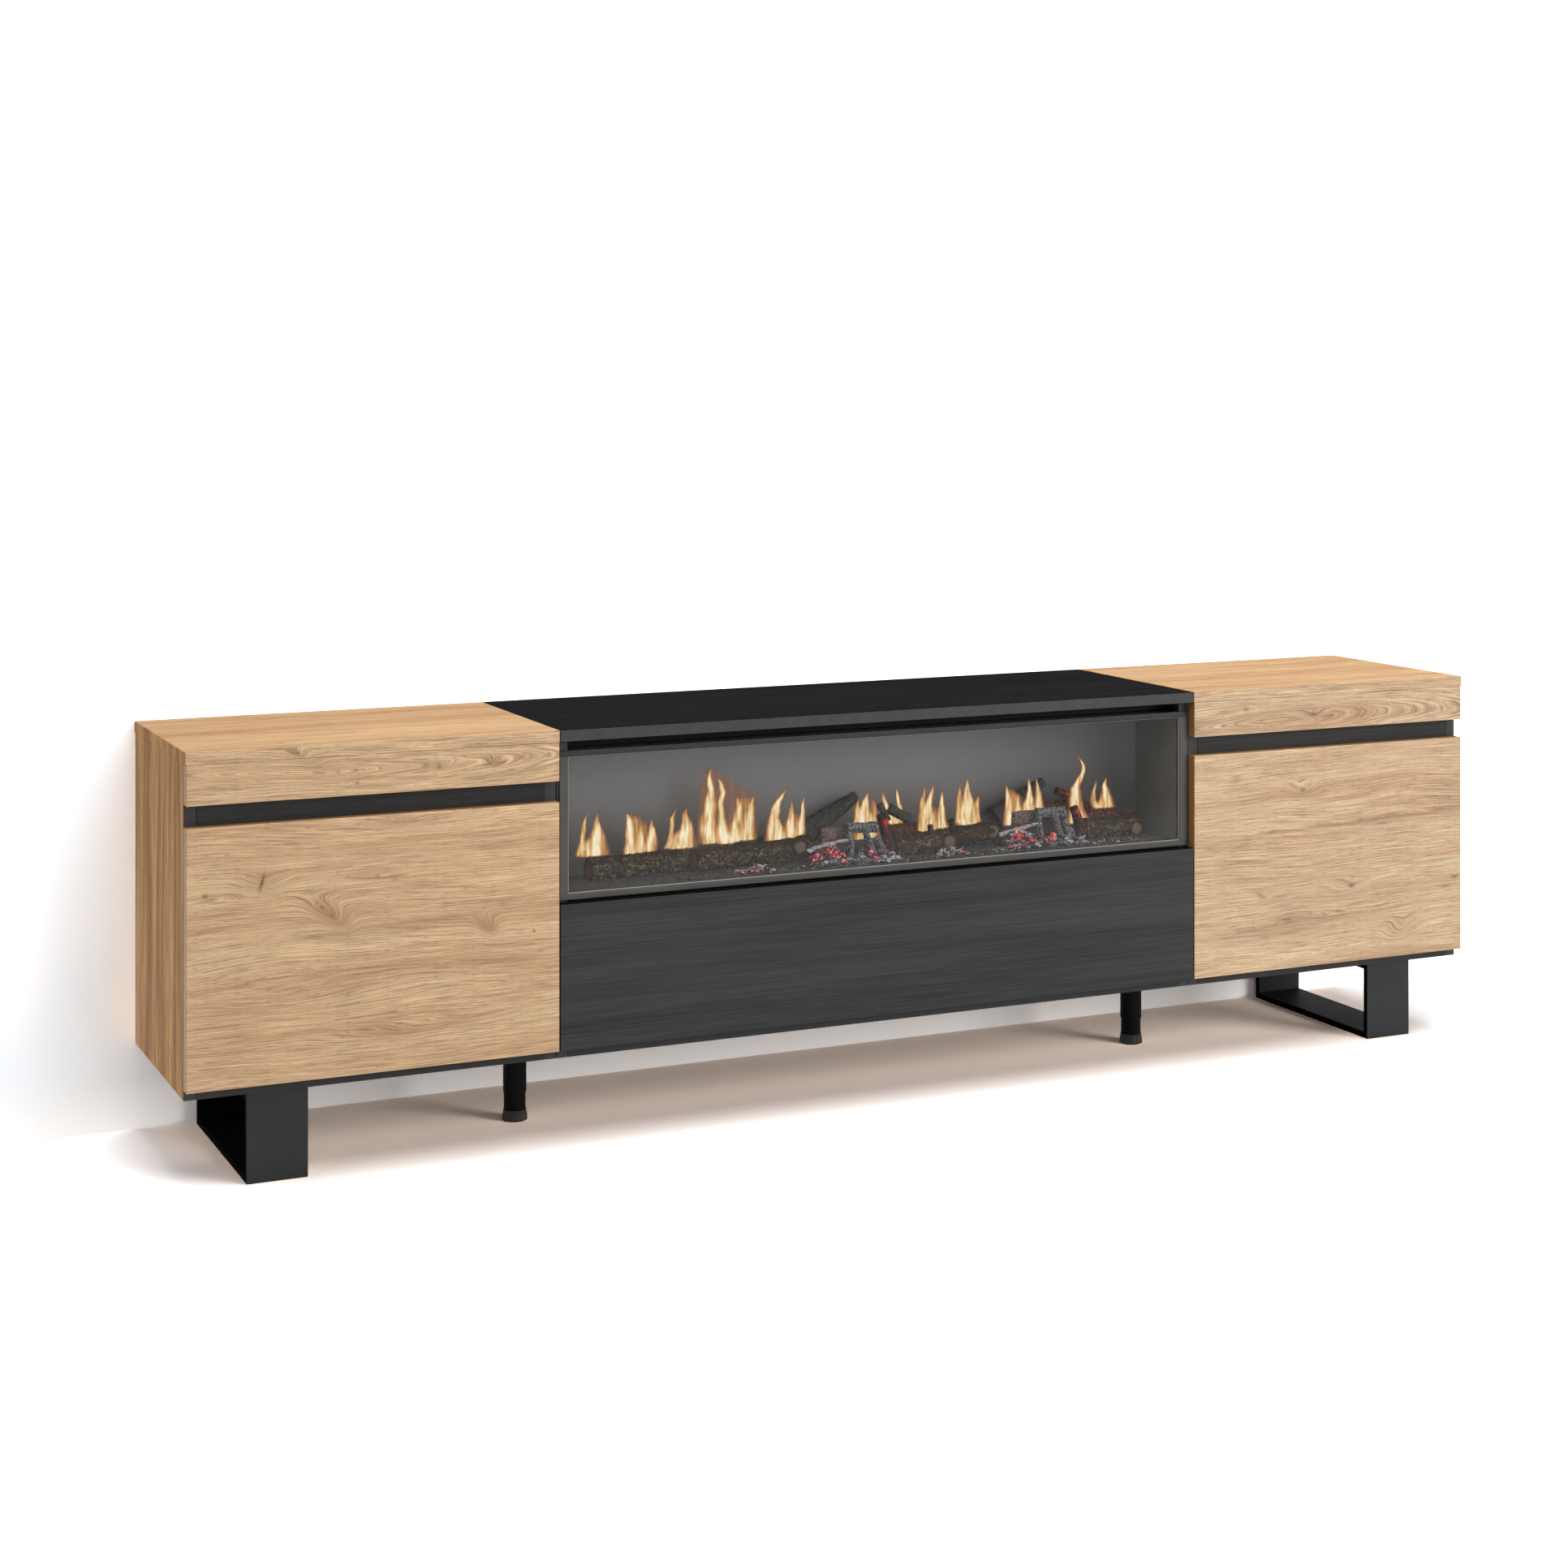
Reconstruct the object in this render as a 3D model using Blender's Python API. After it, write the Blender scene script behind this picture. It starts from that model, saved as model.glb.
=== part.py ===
"""Low television stand: two side cabinets, a middle cabinet with an electric fire, and metal legs.

Metres, +Z up, +X to the right as seen from the front, front face towards -Y.
The origin is on the floor, under the middle of the stand.
"""

import math
import random

import bmesh
import bpy
from mathutils import Matrix, Vector

# Overall size
WIDTH = 2.000
DEPTH = 0.332
HEIGHT = 0.560
LEG_HEIGHT = 0.118

# Boards and the gaps between them
BOARD = 0.016
BACK_BOARD = 0.003
SEAT = 0.0003
EDGE = 0.0005
CABINET_JOINT = 0.001
SIDE_CABINET_WIDTH = 0.498
END_REVEAL = 0.001
JOINT_REVEAL = 0.0005
REAR_REVEAL = 0.001

# Fronts: a fixed fascia, a grip recess and a door on each side, a flap in the middle
FASCIA_DROP = 0.068
GRIP_HEIGHT = 0.028
RAIL_BELOW_GRIP = 0.020
FRONT_LIFT = 0.013
SHELF_HEIGHT = 0.180
SHELF_SETBACK = 0.020
STRETCHER_THICKNESS = 0.014
STRETCHER_DEPTH = 0.070
STRETCHER_SETBACK = 0.0335
CABLE_HOLE_RADIUS = 0.030

# Cup hinges of the doors and the flap
CUP_RADIUS = 0.0175
CUP_DEPTH = 0.0115
CUP_CENTRE = 0.0225
CUP_CLEARANCE = 0.0003
HINGE_REACH = 0.015
HINGE_HEIGHT = 0.014
HINGE_BODY = (0.018, 0.026)
HINGE_TONGUE_RELIEF = 0.001
HINGE_FLANGE = (0.0175, 0.045)
HINGE_FLANGE_LENGTH = 0.050
HINGE_FLANGE_THICKNESS = 0.002
ARM_LENGTH = 0.045
ARM_PLATE_LENGTH = 0.040
ARM_PLATE_THICKNESS = 0.002
DOOR_HINGE_INSET = 0.075
FLAP_HINGE_INSET = 0.120

# Push latch behind the flap's upper edge
LATCH_SIZE = (0.018, 0.060, 0.014)
LATCH_SETBACK = 0.006
PLUNGER_RADIUS = 0.004
PLUNGER_LENGTH = 0.030
PLUNGER_TRAVEL = 0.004
PLUNGER_CLEARANCE = 0.0004

# Electric fire
BEZEL_DROP = 0.014
BEZEL_GAP = 0.0027
DECK_DROP = 0.002
BEZEL_HEIGHT = 0.2003
INSERT_TOP_GAP = 0.0029
BEZEL_THICKNESS = 0.003
BEZEL_END_REVEAL = 0.00375
BEZEL_SIDE_BORDER = 0.01375
BEZEL_END_BORDER = 0.0091
BEZEL_SLOPE = 0.0025
INSERT_DEPTH = 0.1645
GLASS_THICKNESS = 0.004
SHEET = 0.0015
CHAMBER_DEPTH = 0.113
SCREEN_THICKNESS = 0.002
ROTOR_RADIUS = 0.013
ROTOR_SHAFT_RADIUS = 0.003
ROTOR_CLEARANCE = 0.0003
ROTOR_SETBACK = 0.024
ROTOR_RISE = 0.036
MOTOR_SIZE = (0.030, 0.032, 0.032)
LAMP_SIZE = (0.012, 0.008)
INLET_OPENING = (0.0280, 0.0200)
INLET_FLANGE = (0.036, 0.0025, 0.028)
INLET_DEPTH = 0.018
INLET_SOCKET = (0.0236, 0.012, 0.0156)
INLET_OFFSET = -0.300
INLET_RISE = 0.120

# Fuel bed: heights above the chamber floor, and where its crest lies and how far it spreads across its depth
BED_HEIGHT = 0.009
BED_MOUND = 0.009
BED_CREST = 0.36
BED_SPREAD = 0.34
BED_SETBACK = 0.006
LOG_SIDES = 12
LOG_RINGS = 7
STICK_SIDES = 8
STICK_RINGS = 5

# Loop legs
PLATE = 0.010
PLATE_EDGE = 0.0008
LOOP_INSET = 0.083
LOOP_WIDTH = 0.080
LOOP_FRONT_SETBACK = 0.024
LOOP_REAR_SETBACK = 0.0085

# Round middle legs
FLANGE_RADIUS = 0.029
FLANGE_THICKNESS = 0.003
UPPER_TUBE_RADIUS = 0.01625
LOWER_TUBE_RADIUS = 0.01515
LOWER_TUBE_LENGTH = 0.024
FOOT_HEIGHT = 0.015
FOOT_RADIUS = 0.01775
FOOT_TOP_RADIUS = 0.0162
FOOT_RIBS = 24
FOOT_RIB_DEPTH = 0.0005
STEM_RADIUS = 0.004
STEM_GRIP = 0.023
STEM_CLEARANCE = 0.0004
FOOT_TRAVEL = 0.012
POST_SETBACK = 0.1625

# Places worked out from the sizes above
FRONT = -DEPTH / 2
BACK = DEPTH / 2
FRONTS_BACK = FRONT + BOARD
CARCASS_FRONT = FRONTS_BACK + SEAT
CARCASS_BACK = BACK - REAR_REVEAL
INNER_BACK = CARCASS_BACK - BACK_BOARD - SEAT
TOP_UNDERSIDE = HEIGHT - BOARD
CARCASS_TOP = TOP_UNDERSIDE - SEAT
FLOOR_TOP = LEG_HEIGHT + BOARD
FRONTS_BOTTOM = LEG_HEIGHT + FRONT_LIFT
FASCIA_BOTTOM = HEIGHT - FASCIA_DROP
DOOR_TOP = FASCIA_BOTTOM - GRIP_HEIGHT
BEZEL_TOP = TOP_UNDERSIDE - BEZEL_DROP
BEZEL_BOTTOM = BEZEL_TOP - BEZEL_HEIGHT
FLAP_TOP = BEZEL_BOTTOM - BEZEL_GAP
CENTER_HALF = WIDTH / 2 - SIDE_CABINET_WIDTH - CABINET_JOINT
CENTER_INNER_HALF = CENTER_HALF - BOARD
HINGE_PLANE = FRONTS_BACK + SEAT / 2
DECK_TOP = BEZEL_BOTTOM - DECK_DROP
DECK_BOTTOM = DECK_TOP - BOARD
INSERT_BOTTOM = DECK_TOP + SEAT
INSERT_TOP = CARCASS_TOP - STRETCHER_THICKNESS - INSERT_TOP_GAP
INSERT_HALF = CENTER_INNER_HALF - SEAT
GLASS_FRONT = CARCASS_FRONT
CASING_FRONT = GLASS_FRONT + GLASS_THICKNESS + SEAT
CASING_BACK = CASING_FRONT + INSERT_DEPTH
CHAMBER_HALF = INSERT_HALF - SHEET - SEAT
CHAMBER_FLOOR = INSERT_BOTTOM + SHEET + SEAT
CHAMBER_TOP = INSERT_TOP - SHEET - SEAT
CHAMBER_HEIGHT = CHAMBER_TOP - CHAMBER_FLOOR
SCREEN_FRONT = CASING_FRONT + CHAMBER_DEPTH
SCREEN_BACK = SCREEN_FRONT + SCREEN_THICKNESS
STEM_LENGTH = STEM_GRIP + FOOT_TRAVEL

# Logs of the fuel bed: name, start and end of the axis as shares of the chamber's width, depth and height,
# and the radii at both ends as shares of its height
LOGS = (
    ("log_1", (0.056, 0.611, 0.107), (0.200, 0.690, 0.117), 0.0692, 0.0666),
    ("log_2", (0.219, 0.575, 0.109), (0.408, 0.743, 0.134), 0.0717, 0.0845),
    ("log_3", (0.541, 0.566, 0.109), (0.632, 0.531, 0.112), 0.0717, 0.0768),
    ("log_4", (0.872, 0.566, 0.105), (0.968, 0.566, 0.107), 0.0666, 0.0692),
)

# Charred sticks moulded into the bed, in the same form
STICKS = (
    ("stick_back_left", (0.345, 0.867, 0.085), (0.480, 0.850, 0.159), 0.0666, 0.0717),
    ("stick_branch_left", (0.400, 0.876, 0.123), (0.500, 0.832, 0.461), 0.0512, 0.0307),
    ("stick_lean_left", (0.455, 0.460, 0.061), (0.470, 0.531, 0.246), 0.0359, 0.0384),
    ("stick_cross_left", (0.462, 0.425, 0.246), (0.516, 0.531, 0.220), 0.0333, 0.0307),
    ("stick_prop_left", (0.500, 0.425, 0.041), (0.508, 0.513, 0.236), 0.0333, 0.0307),
    ("stick_middle", (0.632, 0.673, 0.195), (0.712, 0.619, 0.102), 0.0692, 0.0666),
    ("stick_back_right", (0.655, 0.867, 0.092), (0.790, 0.850, 0.133), 0.0666, 0.0717),
    ("stick_branch_right", (0.742, 0.876, 0.123), (0.816, 0.832, 0.471), 0.0487, 0.0333),
    ("stick_lean_right", (0.755, 0.460, 0.061), (0.752, 0.513, 0.241), 0.0384, 0.0410),
    ("stick_cross_right", (0.740, 0.442, 0.261), (0.836, 0.549, 0.241), 0.0359, 0.0333),
    ("stick_prop_right", (0.800, 0.442, 0.041), (0.818, 0.496, 0.246), 0.0384, 0.0333),
    ("stick_end", (0.846, 0.867, 0.379), (0.980, 0.814, 0.061), 0.0410, 0.0461),
)

# Mounds of embers along the bed: centre and half length as shares of the width, and height as a share
MOUNDS = ((0.285, 0.035, 0.5), (0.405, 0.065, 0.9), (0.500, 0.050, 0.8), (0.580, 0.030, 0.4))
MOUNDS += ((0.700, 0.060, 1.0), (0.800, 0.060, 0.9), (0.900, 0.030, 0.3))


def clear_scene():
    """Start from an empty scene."""
    for item in list(bpy.data.objects):
        bpy.data.objects.remove(item, do_unlink=True)


def linear(hex_color):
    """Linear colour of an sRGB hex colour."""
    parts = [int(hex_color[i:i + 2], 16) / 255 for i in (1, 3, 5)]
    return [c / 12.92 if c <= 0.04045 else ((c + 0.055) / 1.055) ** 2.4 for c in parts]


def coat(name, hex_color, roughness, metallic=0.0, alpha=1.0):
    """Plain material with one colour."""
    material = bpy.data.materials.new(name)
    material.use_nodes = True
    shader = material.node_tree.nodes["Principled BSDF"]
    shader.inputs["Base Color"].default_value = (*linear(hex_color), 1.0)
    shader.inputs["Roughness"].default_value = roughness
    shader.inputs["Metallic"].default_value = metallic
    shader.inputs["Alpha"].default_value = alpha
    material.diffuse_color = (*linear(hex_color), alpha)
    return material


def make_coats():
    """Materials of the whole stand, by name."""
    return {
        "oak": coat("oak_melamine", "#CDA77E", 0.55),
        "black": coat("black_melamine", "#3A3A3A", 0.50),
        "backing": coat("back_board", "#8A7258", 0.70),
        "steel": coat("powder_coated_steel", "#353535", 0.50),
        "nickel": coat("nickel_plated_steel", "#B8B8B4", 0.30, 1.0),
        "bezel": coat("coated_bezel_sheet", "#505050", 0.40, 0.3),
        "glass": coat("front_glass", "#C8CCCC", 0.05, 0.0, 0.25),
        "screen": coat("flame_screen", "#5C5C5C", 0.60),
        "bark": coat("bark_resin", "#4A3A2A", 0.85),
        "ember": coat("ember_resin", "#5A4A46", 0.90),
        "reflector": coat("reflector_aluminium", "#C8C8C8", 0.20, 1.0),
        "plastic": coat("black_plastic", "#242424", 0.55),
        "lamp": coat("lamp_strip", "#E8E0D0", 0.50),
    }


def add_object(name, mesh, material, origin=(0, 0, 0), pivot=None, smooth=False):
    """Put a mesh in the scene at its origin, under its joint's pivot if it has one."""
    item = bpy.data.objects.new(name, mesh)
    bpy.context.collection.objects.link(item)
    item.location = origin
    if pivot is not None:
        item.parent = pivot
        item.matrix_parent_inverse = Matrix.Translation(pivot.location).inverted()
    if material is not None and not mesh.materials:
        mesh.materials.append(material)
    if smooth:
        mesh.shade_smooth()
        mesh.set_sharp_from_angle(angle=math.radians(40))
    return item


def mesh_from(bm, name):
    """Close a bmesh into a mesh with its faces pointing out."""
    bmesh.ops.recalc_face_normals(bm, faces=bm.faces[:])
    mesh = bpy.data.meshes.new(name)
    bm.to_mesh(mesh)
    bm.free()
    return mesh


def add_pivot(name, location):
    """Empty on a joint's axis, which carries the pieces that turn or slide with it."""
    pivot = bpy.data.objects.new(name, None)
    pivot.location = location
    bpy.context.collection.objects.link(pivot)
    return pivot


def limits(*pairs):
    """Lower corner and size of the box between pairs of limits given in any order."""
    low = Vector([min(pair) for pair in pairs])
    high = Vector([max(pair) for pair in pairs])
    return low, high - low


def add_box(name, x, y, z, material, pivot=None, edge=EDGE):
    """Board or block between limits along each axis, with a fine chamfer along its edges."""
    low, size = limits(x, y, z)
    bm = bmesh.new()
    bmesh.ops.create_cube(bm, size=1.0, matrix=Matrix.Diagonal((*size, 1.0)))
    if edge:
        bmesh.ops.bevel(bm, geom=bm.edges[:], offset=edge, segments=1, profile=0.5, affect="EDGES")
    return add_object(name, mesh_from(bm, name), material, low + size / 2, pivot)


def add_cylinder(name, center, axis, radius, length, material=None, pivot=None, sides=32):
    """Round bar along an axis, centred on a point."""
    bm = bmesh.new()
    turn = Vector(axis).to_track_quat("Z", "Y").to_matrix().to_4x4()
    round_ends = {"radius1": radius, "radius2": radius, "depth": length}
    bmesh.ops.create_cone(bm, cap_ends=True, segments=sides, matrix=turn, **round_ends)
    return add_object(name, mesh_from(bm, name), material, center, pivot, smooth=True)


def add_loft(name, rings, material, pivot=None, smooth=True):
    """Closed skin through rings of equal point counts, with a flat cap at each end."""
    bm = bmesh.new()
    loops = [[bm.verts.new(point) for point in ring] for ring in rings]
    for lower, upper in zip(loops, loops[1:]):
        for i in range(len(lower)):
            bm.faces.new((lower[i - 1], lower[i], upper[i], upper[i - 1]))
    bm.faces.new(loops[0])
    bm.faces.new(loops[-1])
    return add_object(name, mesh_from(bm, name), material, pivot=pivot, smooth=smooth)


def boolean(item, other, operation):
    """Cut another object out of one, or join it on, and hide the other from the build."""
    other.hide_render = True
    other.display_type = "WIRE"
    modifier = item.modifiers.new(other.name, "BOOLEAN")
    modifier.operation = operation
    modifier.solver = "EXACT"
    modifier.object = other


def bake(item):
    """Mesh of an object with its Booleans applied, for pieces that share one shape."""
    bpy.context.view_layer.update()
    evaluated = item.evaluated_get(bpy.context.evaluated_depsgraph_get())
    mesh = bpy.data.meshes.new_from_object(evaluated)
    mesh.transform(item.matrix_world)
    helpers = [modifier.object for modifier in item.modifiers]
    for helper in [item] + helpers:
        bpy.data.objects.remove(helper, do_unlink=True)
    return mesh


def from_end(side, distance):
    """X of a point at a distance from the left (-1) or right (+1) end of the stand."""
    return side * (WIDTH / 2 - distance)


def circle(radius, z, sides, rib_depth=0.0):
    """Ring of points round the Z axis, with every second point drawn in to form ribs."""
    points = []
    for i in range(sides):
        angle = 2 * math.pi * i / sides
        reach = radius - rib_depth * (i % 2)
        points.append(Vector((reach * math.cos(angle), reach * math.sin(angle), z)))
    return points


def hinge_cup_mesh():
    """Cup, flange and tongue of a hinge, from the hinge axis: X along the front, Y into the cabinet."""
    cup_length = CUP_DEPTH - CUP_CLEARANCE
    cup_place = (CUP_CENTRE, -(SEAT + cup_length) / 2, 0)
    cup = add_cylinder("cup", cup_place, (0, 1, 0), CUP_RADIUS - CUP_CLEARANCE, cup_length)
    flange_y = (SEAT / 2, HINGE_FLANGE_THICKNESS)
    half = HINGE_FLANGE_LENGTH / 2
    flange = add_box("cup_flange", HINGE_FLANGE, flange_y, (-half, half), None, edge=0)
    half = HINGE_HEIGHT / 2
    tongue_x = (HINGE_BODY[0], HINGE_BODY[1] - HINGE_TONGUE_RELIEF)
    tongue = add_box("cup_tongue", tongue_x, (-CUP_DEPTH / 2, HINGE_REACH), (-half, half), None, edge=0)
    boolean(cup, flange, "UNION")
    boolean(cup, tongue, "UNION")
    return bake(cup)


def hinge_arm_mesh(overlay):
    """Fixed arm of a hinge, on a board whose inner face lies at an overlay from the hinge axis."""
    start = HINGE_REACH + SEAT
    plate_x = (overlay + SEAT, overlay + SEAT + ARM_PLATE_THICKNESS)
    half = ARM_PLATE_LENGTH / 2
    middle = start + ARM_LENGTH / 2
    plate_y = (middle - ARM_LENGTH / 4, middle + ARM_LENGTH / 2)
    plate = add_box("arm_plate", plate_x, plate_y, (-half, half), None, edge=0)
    half = HINGE_HEIGHT / 2
    body_x = (overlay + SEAT + ARM_PLATE_THICKNESS / 2, HINGE_BODY[1])
    body = add_box("arm_body", body_x, (start, start + ARM_LENGTH * 0.9), (-half, half), None, edge=0)
    boolean(plate, body, "UNION")
    return bake(plate)


def place_hinge(name, mesh, location, turn, material, pivot=None):
    """Copy of a hinge piece, turned about the Y axis to suit its front."""
    item = add_object(name, mesh, material, location, pivot)
    item.rotation_euler = (0, turn, 0)
    return item


def cup_recess(front, name, location, pivot):
    """Round recess for a hinge cup in the back of a front."""
    depth = CUP_DEPTH + BOARD
    middle = (location[0], FRONTS_BACK - CUP_DEPTH + depth / 2, location[2])
    cutter = add_cylinder(name, middle, (0, 1, 0), CUP_RADIUS, depth, pivot=pivot)
    boolean(front, cutter, "DIFFERENCE")


def build_side_cabinet(side, coats, cup_mesh, arm_mesh):
    """Cabinet at one end of the stand, with its top, fascia, grip recess, shelf and door."""
    name = {-1: "left", 1: "right"}[side]
    outer = from_end(side, END_REVEAL)
    inner = from_end(side, SIDE_CABINET_WIDTH)
    outer_face = outer - side * BOARD
    inner_face = inner + side * BOARD
    between = (outer_face - side * SEAT, inner_face + side * SEAT)
    front_span = (outer, inner + side * JOINT_REVEAL)
    carcass_y = (CARCASS_FRONT, CARCASS_BACK)
    carcass_z = (LEG_HEIGHT, CARCASS_TOP)
    inner_y = (CARCASS_FRONT, INNER_BACK)
    rail_z = (DOOR_TOP - RAIL_BELOW_GRIP, CARCASS_TOP)
    rail_y = (CARCASS_FRONT, CARCASS_FRONT + BOARD)
    shelf_z = (FLOOR_TOP + SHELF_HEIGHT - BOARD, FLOOR_TOP + SHELF_HEIGHT)
    shelf_y = (CARCASS_FRONT + SHELF_SETBACK, INNER_BACK)
    back_y = (CARCASS_BACK - BACK_BOARD, CARCASS_BACK)
    top_x = (from_end(side, 0), inner)
    add_box(f"{name}_top", top_x, (FRONT, BACK), (TOP_UNDERSIDE, HEIGHT), coats["oak"])
    add_box(f"{name}_outer_side", (outer, outer_face), carcass_y, carcass_z, coats["oak"])
    add_box(f"{name}_inner_side", (inner, inner_face), carcass_y, carcass_z, coats["oak"])
    add_box(f"{name}_bottom", between, inner_y, (LEG_HEIGHT, FLOOR_TOP), coats["black"])
    add_box(f"{name}_back", between, back_y, carcass_z, coats["backing"])
    add_box(f"{name}_fascia", front_span, (FRONT, FRONTS_BACK), (FASCIA_BOTTOM, CARCASS_TOP), coats["oak"])
    add_box(f"{name}_rail", between, rail_y, rail_z, coats["black"])
    add_box(f"{name}_shelf", between, shelf_y, shelf_z, coats["oak"])
    build_door(side, name, front_span, coats, cup_mesh, arm_mesh)


def build_door(side, name, front_span, coats, cup_mesh, arm_mesh):
    """Door hung on two cup hinges along its outer edge."""
    outer = front_span[0]
    pivot = add_pivot(f"{name}_door_axis", (outer, HINGE_PLANE, (FRONTS_BOTTOM + DOOR_TOP) / 2))
    door_z = (FRONTS_BOTTOM, DOOR_TOP)
    door = add_box(f"{name}_door", front_span, (FRONT, FRONTS_BACK), door_z, coats["oak"], pivot)
    turn = {-1: 0.0, 1: math.pi}[side]
    heights = {"upper": DOOR_TOP - DOOR_HINGE_INSET, "lower": FRONTS_BOTTOM + DOOR_HINGE_INSET}
    for level, z in heights.items():
        place = (outer, HINGE_PLANE, z)
        cup_recess(door, f"{name}_recess_{level}", (outer - side * CUP_CENTRE, 0, z), pivot)
        place_hinge(f"{name}_hinge_cup_{level}", cup_mesh, place, turn, coats["nickel"], pivot)
        place_hinge(f"{name}_hinge_arm_{level}", arm_mesh, place, turn, coats["nickel"])


def build_middle_cabinet(coats):
    """Middle cabinet: black top, sides, floor, deck under the fire, back of the flap's bay, stretcher."""
    half = CENTER_INNER_HALF - SEAT
    span = (-half, half)
    inner_y = (CARCASS_FRONT, INNER_BACK)
    back_y = (CARCASS_BACK - BACK_BOARD, CARCASS_BACK)
    stretcher_y = (CARCASS_FRONT + STRETCHER_SETBACK, CARCASS_FRONT + STRETCHER_SETBACK + STRETCHER_DEPTH)
    add_box("center_top", (-CENTER_HALF, CENTER_HALF), (FRONT, BACK), (TOP_UNDERSIDE, HEIGHT), coats["black"])
    for name, side in (("left", -1), ("right", 1)):
        side_x = (side * CENTER_HALF, side * CENTER_INNER_HALF)
        side_z = (LEG_HEIGHT, CARCASS_TOP)
        add_box(f"center_{name}_side", side_x, (CARCASS_FRONT, CARCASS_BACK), side_z, coats["oak"])
    add_box("center_bottom", span, inner_y, (LEG_HEIGHT, FLOOR_TOP), coats["black"])
    add_box("center_deck", span, inner_y, (DECK_BOTTOM, DECK_TOP), coats["black"])
    back = add_box("center_back", span, back_y, (LEG_HEIGHT, DECK_TOP), coats["backing"])
    hole_z = (FLOOR_TOP + DECK_BOTTOM) / 2
    hole = add_cylinder("cable_hole", (0, CARCASS_BACK, hole_z), (0, 1, 0), CABLE_HOLE_RADIUS, 4 * BACK_BOARD)
    boolean(back, hole, "DIFFERENCE")
    stretcher_z = (CARCASS_TOP - STRETCHER_THICKNESS, CARCASS_TOP)
    add_box("center_stretcher", span, stretcher_y, stretcher_z, coats["black"])


def build_flap(coats, cup_mesh, arm_mesh):
    """Flap hinged along its lower edge, with its cup hinges."""
    half = CENTER_HALF - JOINT_REVEAL
    pivot = add_pivot("flap_axis", (0, HINGE_PLANE, FRONTS_BOTTOM))
    flap_z = (FRONTS_BOTTOM, FLAP_TOP)
    flap = add_box("flap", (-half, half), (FRONT, FRONTS_BACK), flap_z, coats["black"], pivot)
    for name, side in (("left", -1), ("right", 1)):
        x = side * (half - FLAP_HINGE_INSET)
        place = (x, HINGE_PLANE, FRONTS_BOTTOM)
        cup_recess(flap, f"flap_recess_{name}", (x, 0, FRONTS_BOTTOM + CUP_CENTRE), pivot)
        place_hinge(f"flap_hinge_cup_{name}", cup_mesh, place, -math.pi / 2, coats["nickel"], pivot)
        place_hinge(f"flap_hinge_arm_{name}", arm_mesh, place, -math.pi / 2, coats["nickel"])


def build_latch(coats):
    """Push latch under the deck, whose sprung plunger meets the flap's back."""
    width, length, height = LATCH_SIZE
    top = DECK_BOTTOM - SEAT
    front = CARCASS_FRONT + LATCH_SETBACK
    axis_z = top - height / 2
    body_z = (top - height, top)
    body = add_box("latch_body", (-width / 2, width / 2), (front, front + length), body_z, coats["plastic"])
    plunger_front = FRONTS_BACK + SEAT
    bore_end = plunger_front + PLUNGER_LENGTH + PLUNGER_TRAVEL + PLUNGER_CLEARANCE
    bore_start = plunger_front - PLUNGER_LENGTH
    bore_middle = (0, (bore_start + bore_end) / 2, axis_z)
    bore_radius = PLUNGER_RADIUS + PLUNGER_CLEARANCE
    bore = add_cylinder("latch_bore", bore_middle, (0, 1, 0), bore_radius, bore_end - bore_start, sides=24)
    boolean(body, bore, "DIFFERENCE")
    pivot = add_pivot("latch_axis", (0, plunger_front, axis_z))
    middle = (0, plunger_front + PLUNGER_LENGTH / 2, axis_z)
    plunger_size = (PLUNGER_RADIUS, PLUNGER_LENGTH)
    add_cylinder("latch_plunger", middle, (0, 1, 0), *plunger_size, coats["plastic"], pivot, sides=24)


def build_insert(coats):
    """Steel casing of the electric fire, its bezel, glass and flame screen."""
    half = INSERT_HALF
    casing_y = (CASING_FRONT, CASING_BACK)
    casing = add_box("insert_casing", (-half, half), casing_y, (INSERT_BOTTOM, INSERT_TOP), coats["steel"])
    hollow_half = half - SHEET
    hollow_z = (INSERT_BOTTOM + SHEET, INSERT_TOP - SHEET)
    hollow_y = (CASING_FRONT - SHEET, CASING_BACK - SHEET)
    hollow = add_box("casing_hollow", (-hollow_half, hollow_half), hollow_y, hollow_z, None, edge=0)
    boolean(casing, hollow, "DIFFERENCE")
    build_bezel(coats)
    glass_y = (GLASS_FRONT, GLASS_FRONT + GLASS_THICKNESS)
    add_box("insert_glass", (-half, half), glass_y, (INSERT_BOTTOM, INSERT_TOP), coats["glass"])
    screen_x = (-CHAMBER_HALF, CHAMBER_HALF)
    screen_z = (CHAMBER_FLOOR, CHAMBER_TOP)
    add_box("flame_screen", screen_x, (SCREEN_FRONT, SCREEN_BACK), screen_z, coats["screen"])
    build_inlet(casing, coats)
    return casing


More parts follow.
